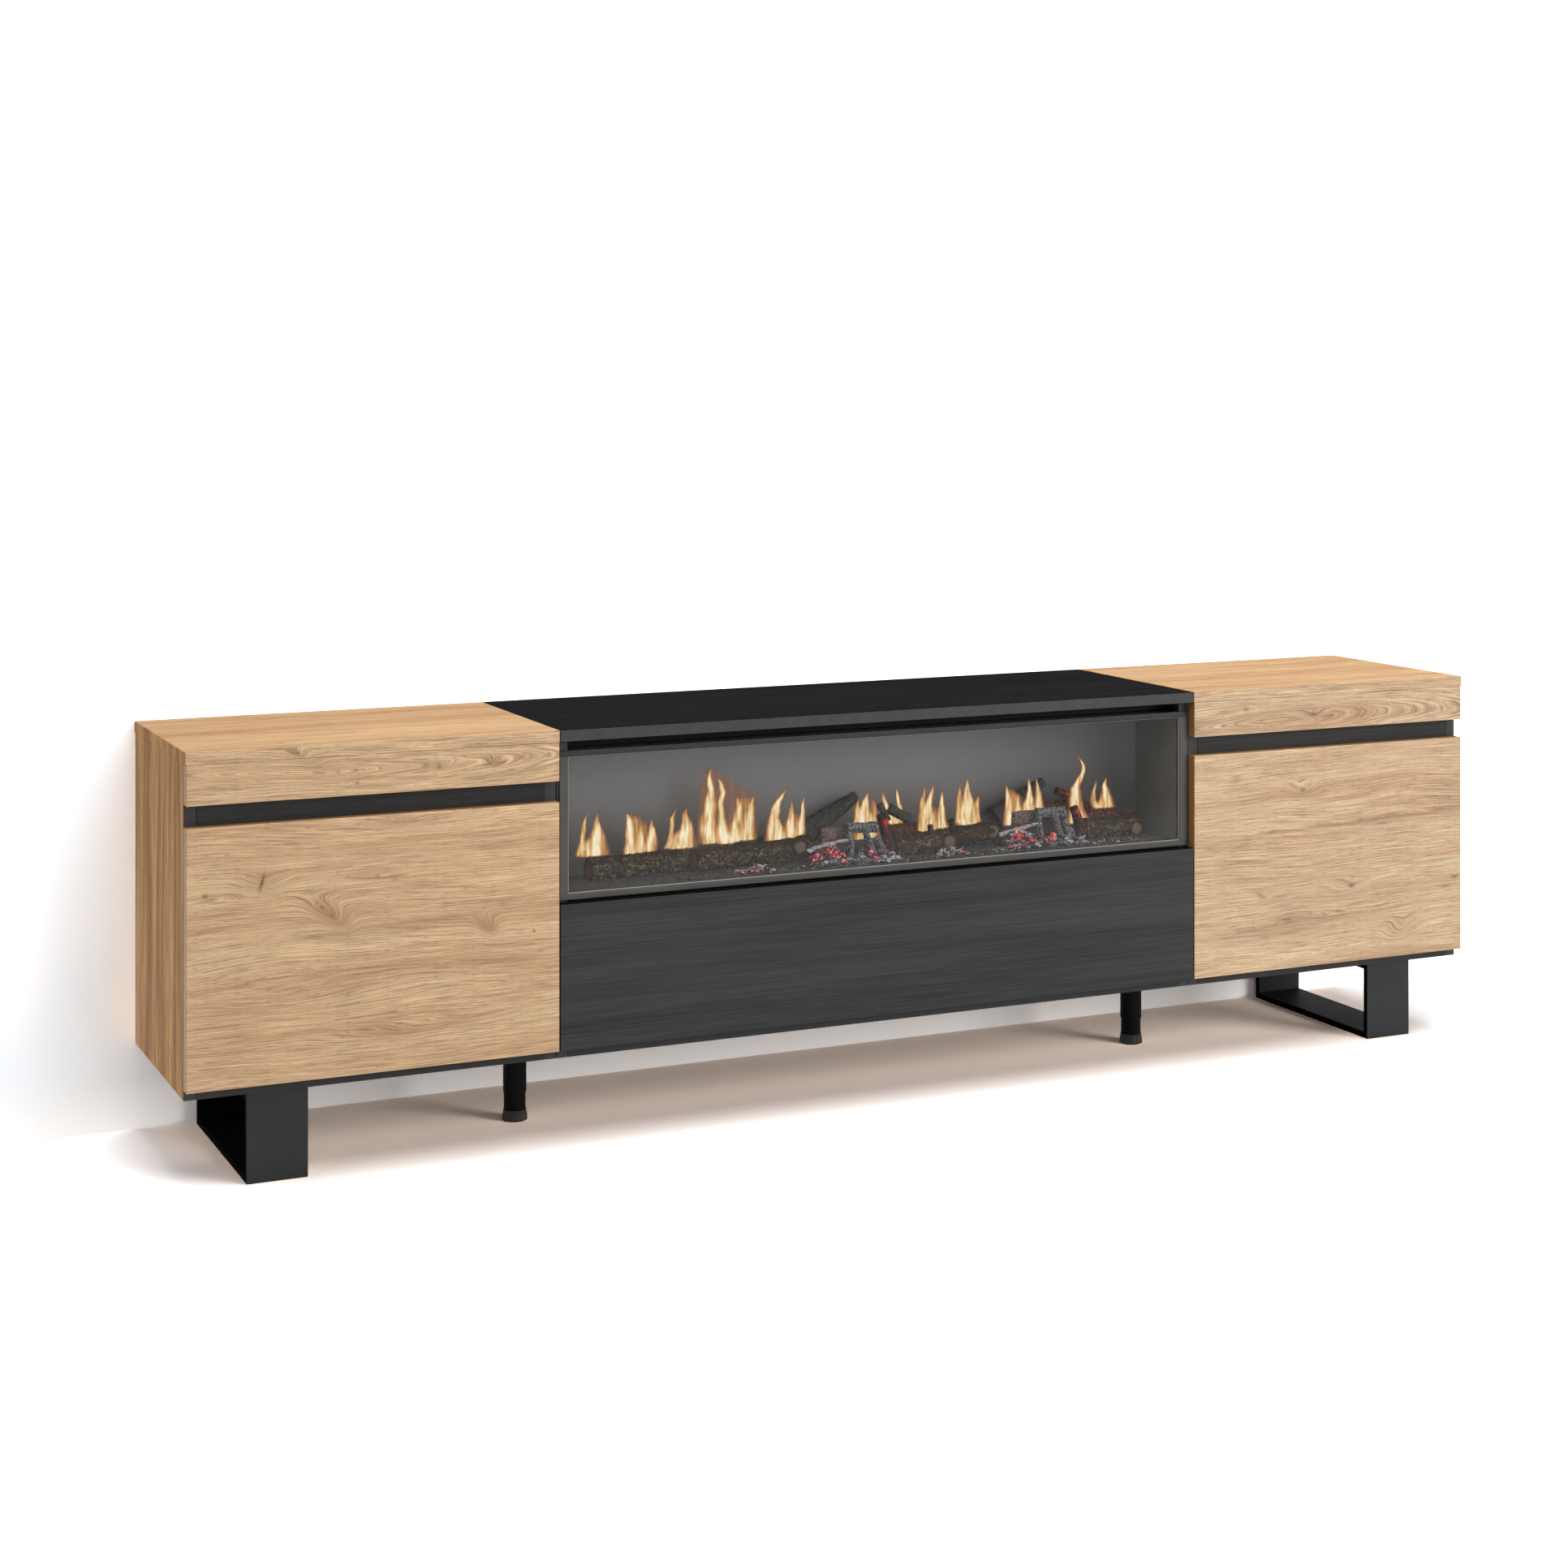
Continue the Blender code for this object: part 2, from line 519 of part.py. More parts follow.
def build_bezel(coats):
    """Frame in front of the glass, with an opening that narrows towards it."""
    half = CENTER_HALF - BEZEL_END_REVEAL
    bezel_y = (FRONTS_BACK - BEZEL_THICKNESS, FRONTS_BACK)
    bezel = add_box("insert_bezel", (-half, half), bezel_y, (BEZEL_BOTTOM, BEZEL_TOP), coats["bezel"])
    rings = []
    for y, widen in ((bezel_y[0], BEZEL_SLOPE), (bezel_y[1], 0.0)):
        beyond = -BEZEL_THICKNESS if y == bezel_y[0] else BEZEL_THICKNESS
        reach_x = half - BEZEL_SIDE_BORDER + widen - beyond * BEZEL_SLOPE / BEZEL_THICKNESS
        reach_low = BEZEL_BOTTOM + BEZEL_END_BORDER - widen + beyond * BEZEL_SLOPE / BEZEL_THICKNESS
        reach_high = BEZEL_TOP - BEZEL_END_BORDER + widen - beyond * BEZEL_SLOPE / BEZEL_THICKNESS
        corners = ((-1, reach_low), (1, reach_low), (1, reach_high), (-1, reach_high))
        rings.append([Vector((sign * reach_x, y + beyond, z)) for sign, z in corners])
    opening = add_loft("bezel_opening", rings, None, smooth=False)
    boolean(bezel, opening, "DIFFERENCE")


def build_inlet(casing, coats):
    """Mains inlet in the casing's back, with its socket open to the rear."""
    middle_z = INSERT_BOTTOM + INLET_RISE
    width, height = INLET_OPENING
    opening_x = (INLET_OFFSET - width / 2, INLET_OFFSET + width / 2)
    opening_z = (middle_z - height / 2, middle_z + height / 2)
    opening_y = (CASING_BACK - 2 * SHEET, CASING_BACK + 2 * SHEET)
    opening = add_box("inlet_opening", opening_x, opening_y, opening_z, None, edge=0)
    boolean(casing, opening, "DIFFERENCE")
    body_x = (opening_x[0] + SEAT, opening_x[1] - SEAT)
    body_z = (opening_z[0] + SEAT, opening_z[1] - SEAT)
    flange_width, flange_thickness, flange_height = INLET_FLANGE
    flange_front = CASING_BACK + SEAT
    flange_x = (INLET_OFFSET - flange_width / 2, INLET_OFFSET + flange_width / 2)
    flange_y = (flange_front, flange_front + flange_thickness)
    flange_z = (middle_z - flange_height / 2, middle_z + flange_height / 2)
    inlet = add_box("mains_inlet", flange_x, flange_y, flange_z, coats["plastic"])
    body_y = (flange_y[1] - INLET_DEPTH, flange_y[0] + flange_thickness / 2)
    body = add_box("inlet_body", body_x, body_y, body_z, None, edge=0)
    boolean(inlet, body, "UNION")
    socket_width, socket_depth, socket_height = INLET_SOCKET
    socket_x = (INLET_OFFSET - socket_width / 2, INLET_OFFSET + socket_width / 2)
    socket_y = (flange_y[1] - socket_depth, flange_y[1] + flange_thickness)
    socket_z = (middle_z - socket_height / 2, middle_z + socket_height / 2)
    socket = add_box("inlet_socket", socket_x, socket_y, socket_z, None, edge=0)
    boolean(inlet, socket, "DIFFERENCE")


def build_flame_drive(casing, coats):
    """Flame-effect rotor behind the screen, its motor and its lamp strip."""
    axis_y = SCREEN_BACK + ROTOR_SETBACK
    axis_z = INSERT_BOTTOM + ROTOR_RISE
    bore_radius = ROTOR_SHAFT_RADIUS + ROTOR_CLEARANCE
    bearing = (-INSERT_HALF, axis_y, axis_z)
    bore = add_cylinder("bearing_bore", bearing, (1, 0, 0), bore_radius, 6 * SHEET, sides=24)
    boolean(casing, bore, "DIFFERENCE")
    motor_width, motor_depth, motor_height = MOTOR_SIZE
    motor_face = CHAMBER_HALF - motor_width
    motor_y = (axis_y - motor_depth / 2, axis_y + motor_depth / 2)
    motor_z = (axis_z - motor_height / 2, axis_z + motor_height / 2)
    motor = add_box("rotor_motor", (motor_face, CHAMBER_HALF), motor_y, motor_z, coats["plastic"])
    socket_depth = motor_width / 3
    socket_end = (motor_face, axis_y, axis_z)
    socket = add_cylinder("motor_bore", socket_end, (1, 0, 0), bore_radius, 2 * socket_depth, sides=24)
    boolean(motor, socket, "DIFFERENCE")
    shaft = (-INSERT_HALF + SHEET / 3, motor_face + socket_depth - ROTOR_SHAFT_RADIUS)
    blades = (-CHAMBER_HALF + ROTOR_RADIUS, motor_face - ROTOR_RADIUS)
    pivot = add_pivot("rotor_axis", (0, axis_y, axis_z))
    add_rotor(shaft, blades, axis_y, axis_z, coats, pivot)
    lamp_depth, lamp_height = LAMP_SIZE
    lamp_y = (SCREEN_BACK + SEAT, SCREEN_BACK + SEAT + lamp_depth)
    lamp_z = (CHAMBER_FLOOR, CHAMBER_FLOOR + lamp_height)
    add_box("lamp_strip", (-CHAMBER_HALF, motor_face - SEAT), lamp_y, lamp_z, coats["lamp"])


def add_rotor(shaft, blades, axis_y, axis_z, coats, pivot):
    """Shaft with four reflector blades, drawn as one skin through round and star-shaped rings."""
    sides = 16
    star = [ROTOR_RADIUS if i % 4 == 0 else ROTOR_SHAFT_RADIUS for i in range(sides)]
    plain = [ROTOR_SHAFT_RADIUS] * sides
    slope = ROTOR_RADIUS - ROTOR_SHAFT_RADIUS
    stations = [(shaft[0], plain), (blades[0], plain), (blades[0] + slope, star)]
    stations += [(blades[1] - slope, star), (blades[1], plain), (shaft[1], plain)]
    rings = []
    for x, radii in stations:
        ring = []
        for i, radius in enumerate(radii):
            angle = 2 * math.pi * i / sides
            ring.append(Vector((x, axis_y + radius * math.cos(angle), axis_z + radius * math.sin(angle))))
        rings.append(ring)
    add_loft("flame_rotor", rings, coats["reflector"], pivot, smooth=False)


def hearth_point(place):
    """World point of a place in the chamber, given as shares of its width, depth and height."""
    across, deep, high = place
    x = CHAMBER_HALF * (2 * across - 1)
    return Vector((x, CASING_FRONT + CHAMBER_DEPTH * deep, CHAMBER_FLOOR + CHAMBER_HEIGHT * high))


def log_rings(start, end, radius_start, radius_end, seed, sides, count, grow=0.0):
    """Rings of an uneven round log, which grow by a clearance when they cut a bed for it."""
    chance = random.Random(seed)
    a = hearth_point(start)
    b = hearth_point(end)
    direction = (b - a).normalized()
    side = direction.orthogonal().normalized()
    up = direction.cross(side)
    ridges = [chance.uniform(0.88, 1.0) for _ in range(sides)]
    rings = []
    for i in range(count):
        share = i / (count - 1)
        end_grow = grow * (2 * share - 1)
        center = a.lerp(b, share) + direction * end_grow
        girth = CHAMBER_HEIGHT * (radius_start + (radius_end - radius_start) * share)
        swell = chance.uniform(0.93, 1.0)
        ring = []
        for j, ridge in enumerate(ridges):
            angle = 2 * math.pi * j / sides
            reach = girth * swell * ridge + grow
            ring.append(center + side * (reach * math.cos(angle)) + up * (reach * math.sin(angle)))
        rings.append(ring)
    return rings


def bed_height(share, depth_share):
    """Height of the ember bed above the chamber floor, with its mounds towards the front."""
    height = BED_HEIGHT
    ripple = math.sin(share * 173.0) * math.cos(depth_share * 9.0 + share * 61.0)
    for middle, half_length, rise in MOUNDS:
        along = (share - middle) / half_length
        across = (depth_share - BED_CREST) / BED_SPREAD
        falloff = max(0.0, 1 - along * along) * max(0.0, 1 - across * across)
        height += BED_MOUND * rise * falloff * (1 + 0.5 * ripple)
    return height


def build_bed(coats):
    """Ember bed with its moulded sticks, cut clear of the loose logs that lie on it."""
    columns = 48
    rows = 6
    bm = bmesh.new()
    bmesh.ops.create_grid(bm, x_segments=columns, y_segments=rows, size=0.5)
    for vert in bm.verts:
        share = vert.co.x + 0.5
        depth_share = vert.co.y + 0.5
        depth = BED_SETBACK + (CHAMBER_DEPTH - BED_SETBACK - SEAT) * depth_share
        vert.co = hearth_point((share, depth / CHAMBER_DEPTH, 0))
        vert.co.z += bed_height(share, depth_share)
    rim = bmesh.ops.extrude_edge_only(bm, edges=[edge for edge in bm.edges if edge.is_boundary])
    skirt = [part for part in rim["geom"] if isinstance(part, bmesh.types.BMVert)]
    for vert in skirt:
        vert.co.z = CHAMBER_FLOOR
    bmesh.ops.contextual_create(bm, geom=[edge for edge in bm.edges if edge.is_boundary])
    bed = add_object("ember_bed", mesh_from(bm, "ember_bed"), coats["ember"], smooth=True)
    for seed, (name, *shape) in enumerate(STICKS, start=20):
        boolean(bed, add_loft(name, log_rings(*shape, seed, STICK_SIDES, STICK_RINGS), None), "UNION")
    for seed, (name, *shape) in enumerate(LOGS, start=1):
        add_loft(name, log_rings(*shape, seed, LOG_SIDES, LOG_RINGS), coats["bark"])
        seat_rings = log_rings(*shape, seed, LOG_SIDES, LOG_RINGS, grow=SEAT)
        boolean(bed, add_loft(f"{name}_seat", seat_rings, None), "DIFFERENCE")


def build_loop_leg(side, name, coats):
    """Closed loop of flat steel plate under one end of the stand."""
    low, size = limits(
        (from_end(side, LOOP_INSET), from_end(side, LOOP_INSET + LOOP_WIDTH)),
        (FRONT + LOOP_FRONT_SETBACK, BACK - LOOP_REAR_SETBACK),
        (0, LEG_HEIGHT - SEAT),
    )
    bm = bmesh.new()
    corners = ((0, 0), (1, 0), (1, 1), (0, 1))
    verts = [bm.verts.new((0, y * size.y, z * size.z)) for y, z in corners]
    window = bm.faces.new(verts)
    bm.normal_update()
    bmesh.ops.inset_region(bm, faces=[window], thickness=PLATE, use_boundary=True, use_even_offset=True)
    bmesh.ops.delete(bm, geom=[window], context="FACES")
    pulled = bmesh.ops.extrude_face_region(bm, geom=bm.faces[:])
    moved = [part for part in pulled["geom"] if isinstance(part, bmesh.types.BMVert)]
    bmesh.ops.translate(bm, vec=(size.x, 0, 0), verts=moved)
    flat_cuts = [edge for edge in bm.edges if edge.calc_face_angle(0) < 0.01]
    outline = [edge for edge in bm.edges if edge not in flat_cuts]
    bmesh.ops.bevel(bm, geom=outline, offset=PLATE_EDGE, segments=1, profile=0.5, affect="EDGES")
    add_object(f"{name}_loop_leg", mesh_from(bm, "loop_leg"), coats["steel"], low)


def post_mesh():
    """Telescopic middle leg with its round flange and the bore that takes the foot's stem."""
    top = LEG_HEIGHT - SEAT
    foot = FOOT_HEIGHT + SEAT
    step = foot + LOWER_TUBE_LENGTH
    bore = STEM_RADIUS + STEM_CLEARANCE
    bore_end = FOOT_HEIGHT + STEM_LENGTH + 2 * SEAT
    profile = [(0, top), (FLANGE_RADIUS, top), (FLANGE_RADIUS, top - FLANGE_THICKNESS)]
    profile += [(UPPER_TUBE_RADIUS, top - FLANGE_THICKNESS), (UPPER_TUBE_RADIUS, step)]
    narrowing = UPPER_TUBE_RADIUS - LOWER_TUBE_RADIUS
    profile += [(LOWER_TUBE_RADIUS, step - narrowing), (LOWER_TUBE_RADIUS, foot)]
    profile += [(bore, foot), (bore, bore_end), (0, bore_end)]
    bm = bmesh.new()
    verts = [bm.verts.new((radius, 0, z)) for radius, z in profile]
    edges = [bm.edges.new(pair) for pair in zip(verts, verts[1:])]
    turn = {"cent": (0, 0, 0), "axis": (0, 0, 1), "angle": 2 * math.pi, "steps": 36, "use_merge": True}
    bmesh.ops.spin(bm, geom=verts + edges, **turn)
    bmesh.ops.remove_doubles(bm, verts=bm.verts[:], dist=1e-6)
    return mesh_from(bm, "post")


def foot_rings():
    """Rings of the ribbed foot and its stem, from the floor up."""
    sides = 2 * FOOT_RIBS
    rib = FOOT_RIB_DEPTH
    lip = 0.001
    rings = [circle(FOOT_RADIUS - lip, 0, sides), circle(FOOT_RADIUS, lip, sides)]
    rings += [circle(FOOT_RADIUS, 1.5 * lip, sides, rib)]
    rings += [circle(FOOT_TOP_RADIUS + lip / 2, FOOT_HEIGHT - 4 * lip, sides, rib)]
    rings += [circle(FOOT_TOP_RADIUS, FOOT_HEIGHT - 3.5 * lip, sides)]
    rings += [circle(FOOT_TOP_RADIUS, FOOT_HEIGHT, sides)]
    rings += [circle(STEM_RADIUS, FOOT_HEIGHT, sides), circle(STEM_RADIUS, FOOT_HEIGHT + STEM_LENGTH, sides)]
    return rings


def build_post(side, name, coats):
    """Round leg under the panel left of a cabinet joint, with a foot that screws out to level the stand."""
    joint = side * (CENTER_HALF + CABINET_JOINT / 2)
    place = Vector((joint - (CABINET_JOINT + BOARD) / 2, FRONT + POST_SETBACK, 0))
    add_object(f"{name}_post", post_mesh(), coats["steel"], place, smooth=True)
    pivot = add_pivot(f"{name}_foot_axis", place)
    rings = [[point + place for point in ring] for ring in foot_rings()]
    add_loft(f"{name}_foot", rings, coats["plastic"], pivot)


def main():
    """Build the whole stand."""
    clear_scene()
    coats = make_coats()
    cup_mesh = hinge_cup_mesh()
    door_arm_mesh = hinge_arm_mesh(BOARD)
    flap_arm_mesh = hinge_arm_mesh(FLOOR_TOP - FRONTS_BOTTOM)
    build_middle_cabinet(coats)
    build_flap(coats, cup_mesh, flap_arm_mesh)
    build_latch(coats)
    casing = build_insert(coats)
    build_flame_drive(casing, coats)
    build_bed(coats)
    for side, name in ((-1, "left"), (1, "right")):
        build_side_cabinet(side, coats, cup_mesh, door_arm_mesh)
        build_loop_leg(side, name, coats)
        build_post(side, name, coats)


main()
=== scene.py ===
"""Finishes, fuel bed, flames and studio for the television stand with its electric fire."""

import math
import random
import bmesh
import bpy
from bpy.props import FloatProperty, FloatVectorProperty, PointerProperty
from mathutils import Matrix, Vector, noise


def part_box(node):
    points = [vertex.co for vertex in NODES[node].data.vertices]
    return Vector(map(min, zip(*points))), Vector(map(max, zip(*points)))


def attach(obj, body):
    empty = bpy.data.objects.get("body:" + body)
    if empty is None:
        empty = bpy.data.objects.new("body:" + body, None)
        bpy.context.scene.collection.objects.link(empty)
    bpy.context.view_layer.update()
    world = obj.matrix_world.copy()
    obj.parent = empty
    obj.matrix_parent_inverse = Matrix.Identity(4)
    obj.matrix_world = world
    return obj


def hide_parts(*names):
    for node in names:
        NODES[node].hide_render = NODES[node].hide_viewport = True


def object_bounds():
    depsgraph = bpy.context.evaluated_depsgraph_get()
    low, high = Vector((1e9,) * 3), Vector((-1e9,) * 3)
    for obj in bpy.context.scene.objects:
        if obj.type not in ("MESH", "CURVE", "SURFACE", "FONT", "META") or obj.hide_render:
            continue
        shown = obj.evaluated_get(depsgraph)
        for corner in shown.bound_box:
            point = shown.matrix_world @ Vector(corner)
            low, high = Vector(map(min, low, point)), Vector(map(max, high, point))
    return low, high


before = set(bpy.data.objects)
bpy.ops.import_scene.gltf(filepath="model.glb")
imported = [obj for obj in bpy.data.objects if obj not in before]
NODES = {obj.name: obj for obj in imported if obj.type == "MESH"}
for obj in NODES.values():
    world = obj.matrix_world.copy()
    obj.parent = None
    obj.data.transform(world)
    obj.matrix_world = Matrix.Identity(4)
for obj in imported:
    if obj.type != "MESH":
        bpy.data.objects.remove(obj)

bl_info = {
    "name": "Television stand with electric fire",
    "version": (1, 0, 0),
    "blender": (4, 5, 0),
    "location": "3D View > Sidebar > TV stand",
    "description": "Finishes the stand's boards, metal and fire, and sets up its studio",
    "category": "Object",
}

CAD_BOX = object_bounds()
STAND = "stand"

# Directions in which a face can look
SIDES = {
    "left": Vector((-1.0, 0.0, 0.0)),
    "right": Vector((1.0, 0.0, 0.0)),
    "front": Vector((0.0, -1.0, 0.0)),
    "back": Vector((0.0, 1.0, 0.0)),
    "bottom": Vector((0.0, 0.0, -1.0)),
    "top": Vector((0.0, 0.0, 1.0)),
    "front_up": Vector((0.0, -0.7071, 0.7071)),
    "front_down": Vector((0.0, -0.7071, -0.7071)),
}

# Turns that lay a board's own length along the first axis of its pattern
ALONG_FRONT = (-math.pi / 2, 0.0, 0.0)
ALONG_TOP = (0.0, 0.0, 0.0)
ALONG_SIDE = (0.0, math.pi / 2, 0.0)

# All places and sizes in these tables are in millimetres. The bed holds one group of embers twice, this far
# apart, and a name that ends in an underscore stands for a piece of either group.
GROUP_STEP = 313

# Logs: node, start, end, radii at both ends
LOGS = (
    ("log_1", (-429, -78, 352.7), (-289, -70, 354.5), 15.2, 15),
    ("log_2", (-272.7, -80, 352.7), (-90, -66, 358), 15.2, 16.8),
    ("log_3", (40, -84, 352), (127.5, -84, 353.5), 15, 15.8),
    ("log_4", (360, -82, 352), (451, -82, 353), 14.8, 15),
)

# Sticks: name, skin, start, end, radii at both ends
STICKS = (
    ("branch_", "soot", (-90, -54, 374), (-7, -56, 423.5), 18.5, 7.2),
    ("back_low_1", "soot", (-156, -47, 360), (-80, -48, 370), 12, 13),
    ("back_low_2", "soot", (150, -47, 362), (233, -48, 372), 13, 14),
    ("back_low_3", "red", (285, -48, 376), (360, -48, 380), 13, 12),
    ("back_log_1", "red", (40, -56, 366), (98, -56, 365), 12.5, 11.8),
    ("back_log_2", "red", (380, -56, 370), (453, -56, 361), 11.5, 9.5),
    ("far_tip", "red", (329, -56, 409), (386, -56, 378), 5.8, 8),
    ("lean_top", "soot", (18, -81, 413), (32, -82, 389), 4.4, 5.2),
    ("lean_1", "hot", (18, -87, 399), (31, -90, 348), 6, 8.8),
    ("lean_2", "hot", (340, -87, 388), (354.5, -90, 346), 6, 8.6),
    ("cross", "soot", (36.5, -76, 407), (68.5, -76, 386), 6.2, 7.2),
    ("bridge_", "char", (-40, -90, 384), (10, -90, 382.2), 6.6, 7.2),
    ("right_log", "bark", (135, -72, 358), (207, -76, 361), 12.5, 13.5),
    ("far_right", "bark", (418, -56, 347), (472, -54, 352), 11, 12),
    ("knot_", "bark", (-104, -64, 359), (-111, -89, 362), 12.5, 11.8),
    ("knot_3", "bark", (127, -74, 353), (121.5, -103.5, 355), 11, 10.4),
    ("knot_4", "bark", (447, -74, 348), (442, -101.5, 351), 11, 10.4),
    ("stub", "bark", (99.5, -83, 362), (99, -85, 378), 4.8, 4),
)

# Split blocks: name, skin, start, end, width, height
BLOCKS = (
    ("leg_left_", "char", (-34.5, -96, 340), (-37, -93, 380), 10, 9),
    ("leg_middle_", "char", (0, -101, 340), (-9.8, -93, 379), 11, 10),
    ("leg_right_", "char", (21.5, -99, 342), (7, -93, 370), 10, 9.5),
    ("wedge_1", "split", (-73, -72, 373), (-31, -74, 374.5), 20, 23),
    ("wedge_2", "split", (241, -72, 374.5), (281.5, -74, 375), 20, 23.5),
)

# Heaps: name, x from and to, y from and to, crest, size of the pieces, coals, flakes, and shares of grey
# coal, white ash, glowing ember and dark coal
HEAPS = (
    ("embers_", -100, -40, -108, -80, 361, 0.8, 110, 40, (3, 1, 10, 1)),
    ("rubble_", -43, 30, -112, -88, 352, 1.0, 60, 20, (8, 2, 2, 5)),
    ("lumps_", -5, 33, -124, -104, 348, 1.1, 20, 8, (4, 7, 0, 1)),
    ("front_", -130, 10, -128, -110, 345, 0.75, 90, 60, (9, 3, 1, 5)),
    ("ash_", -225, -166, -128, -114, 349, 0.8, 14, 26, (3, 8, 4, 1)),
    ("ash_3", 356, 446, -128, -114, 342, 0.6, 26, 16, (6, 2, 0, 4)),
    ("crumbs_front", -460, 460, -134, -112, 339, 0.6, 160, 60, (3, 0, 0, 8)),
    ("crumbs_back", -470, 470, -60, -40, 342, 1.0, 140, 0, (1, 0, 0, 8)),
)

# Flames: their tongues, each with its power and then x, z and half width from foot to tip
FLAMES = (
    (
        (
            1.0, -420, 370, 26.2, -419, 380, 22.7, -417, 389, 17.9, -414, 398, 12.0, -414, 409, 8.4, -415, 420, 4.5,
            -413, 428, 1.0,
        ),
        (0.8, -441, 372, 6.0, -438, 383, 5.9, -436, 395, 4.7, -434, 413, 4.1, -432, 422, 2.3, -429, 429, 0.8),
    ),
    (
        (1.0, -364, 366, 12.7, -364, 383, 9.0, -366, 402, 6.7, -367, 415, 4.8, -369, 425, 1.8),
        (0.5, -351, 371, 20.6, -351, 388, 20.0, -352, 405, 18.2, -358, 418, 12.1, -365, 425, 3.6),
        (0.9, -350, 369, 7.3, -349, 382, 5.4, -349, 393, 3.7, -350, 407, 1.2),
        (1.0, -336, 370, 12.7, -334, 381, 10.4, -332, 392, 7.3, -332, 401, 5.3, -333, 414, 1.5),
    ),
    (
        (
            1.0, -289, 371, 25.7, -288, 380, 22.2, -286, 390, 17.6, -282, 398, 11.7, -282, 409, 8.2, -284, 419, 4.5,
            -282, 427, 0.9,
        ),
        (0.8, -310, 373, 5.9, -307, 384, 5.9, -304, 396, 4.7, -303, 413, 3.9, -300, 421, 2.3, -297, 428, 0.9),
    ),
    (
        (
            1.0, -244, 374, 13.0, -248, 394, 12.7, -248, 412, 11.5, -245, 431, 9.4, -243, 448, 6.2, -246, 463, 4.2,
            -244, 479, 1.5,
        ),
        (
            1.0, -219, 372, 13.7, -226, 392, 9.2, -228, 411, 6.0, -229, 430, 4.8, -225, 445, 4.1, -228, 456, 3.3,
            -234, 466, 0.9,
        ),
        (0.8, -208, 374, 11.2, -208, 394, 7.2, -204, 409, 6.3, -201, 423, 5.0, -202, 436, 1.3),
        (0.85, -189, 375, 14.5, -186, 393, 9.7, -184, 408, 6.5, -182, 421, 4.3, -178, 436, 1.0),
        (0.4, -197, 375, 21.3, -196, 405, 18.8, -194, 422, 16.3, -192, 435, 11.3),
        (0.24, -219, 375, 43.0, -219, 407, 43.0, -219, 434, 39.9, -231, 454, 26.2, -242, 472, 12.4, -244, 482, 3.7),
    ),
    (
        (
            1.0, -145, 371, 15.3, -147, 384, 12.0, -146, 402, 9.5, -143, 415, 8.7, -139, 426, 6.1, -132, 435, 3.5,
            -126, 443, 1.0,
        ),
        (0.95, -134, 369, 12.1, -136, 383, 8.9, -140, 401, 5.1),
        (0.85, -121, 371, 11.5, -120, 386, 8.3, -119, 402, 5.4, -118, 413, 3.6, -117, 427, 1.0),
        (0.95, -103, 376, 8.3, -102, 389, 6.4, -101, 400, 4.9, -100, 414, 3.6, -99, 432, 1.0),
        (0.5, -116, 375, 21.8, -115, 390, 19.1, -113, 407, 15.4),
    ),
    (
        (0.75, -14, 383, 7.9, -14, 404, 5.8, -14, 413, 3.9, -13, 422, 1.0),
        (1.0, 0, 363, 24.9, -1, 379, 21.6, -2, 390, 18.4, -4, 403, 10.5, -2, 416, 6.3, 2, 431, 1.1),
        (0.5, 11, 381, 10.5, 13, 398, 7.2, 12, 410, 5.9, 10, 421, 2.6),
    ),
    (
        (1.0, 45, 381, 15.9, 41, 390, 11.9, 37, 400, 7.3, 32, 411, 5.0, 28, 421, 3.1, 25, 431, 1.1),
        (0.95, 51, 382, 11.9, 55, 394, 6.1, 55, 405, 4.8, 52, 418, 3.2, 48, 434, 1.1),
    ),
    (
        (0.7, 94, 368, 10.7, 93, 384, 8.7, 92, 399, 6.7, 93, 413, 5.0, 96, 423, 2.9, 98, 434, 1.1),
        (1.0, 100, 365, 17.4, 101, 378, 13.4, 100, 391, 11.3, 103, 405, 7.6, 107, 417, 5.1, 111, 433, 1.2),
        (0.95, 125, 369, 12.8, 124, 382, 8.1, 125, 394, 6.5, 125, 408, 4.3, 126, 423, 1.0),
        (0.5, 113, 368, 21.5, 112, 385, 18.8, 112, 401, 13.5),
    ),
    (
        (1.0, 166, 371, 21.1, 166, 384, 18.4, 165, 396, 17.0, 166, 409, 11.6, 165, 421, 5.7, 166, 439, 1.2),
        (0.62, 152, 375, 8.1, 152, 392, 6.8, 152, 406, 6.1, 153, 418, 4.0, 154, 434, 1.2),
        (0.7, 182, 374, 8.8, 181, 390, 6.5, 182, 402, 5.2, 184, 413, 1.6),
    ),
    (
        (0.95, 236, 365, 9.7, 236, 380, 9.0, 236, 396, 6.9, 235, 409, 4.4, 233, 424, 1.4),
        (0.5, 248, 376, 18.0, 248, 391, 17.3, 247, 406, 15.2, 238, 419, 6.9),
        (0.85, 252, 380, 6.9, 252, 391, 4.7, 252, 406, 1.4),
        (1.0, 268, 382, 15.9, 270, 394, 11.1, 272, 404, 7.2, 272, 416, 3.9, 270, 433, 1.1),
        (1.0, 286, 383, 13.2, 288, 395, 8.6, 287, 407, 5.6, 286, 418, 3.3, 284, 431, 1.1),
    ),
    (
        (
            1.0, 357, 360, 24.1, 354, 378, 15.3, 352, 396, 11.9, 352, 412, 9.1, 359, 425, 6.1, 366, 438, 4.2,
            366, 447, 3.3, 357, 460, 1.0,
        ),
    ),
    (
        (1.0, 401, 380, 20.0, 403, 393, 12.8, 403, 404, 8.2, 401, 414, 4.6, 404, 426, 1.1),
        (0.7, 386, 382, 8.5, 381, 394, 5.5, 382, 405, 4.5, 385, 415, 2.8, 387, 425, 1.1),
    ),
)

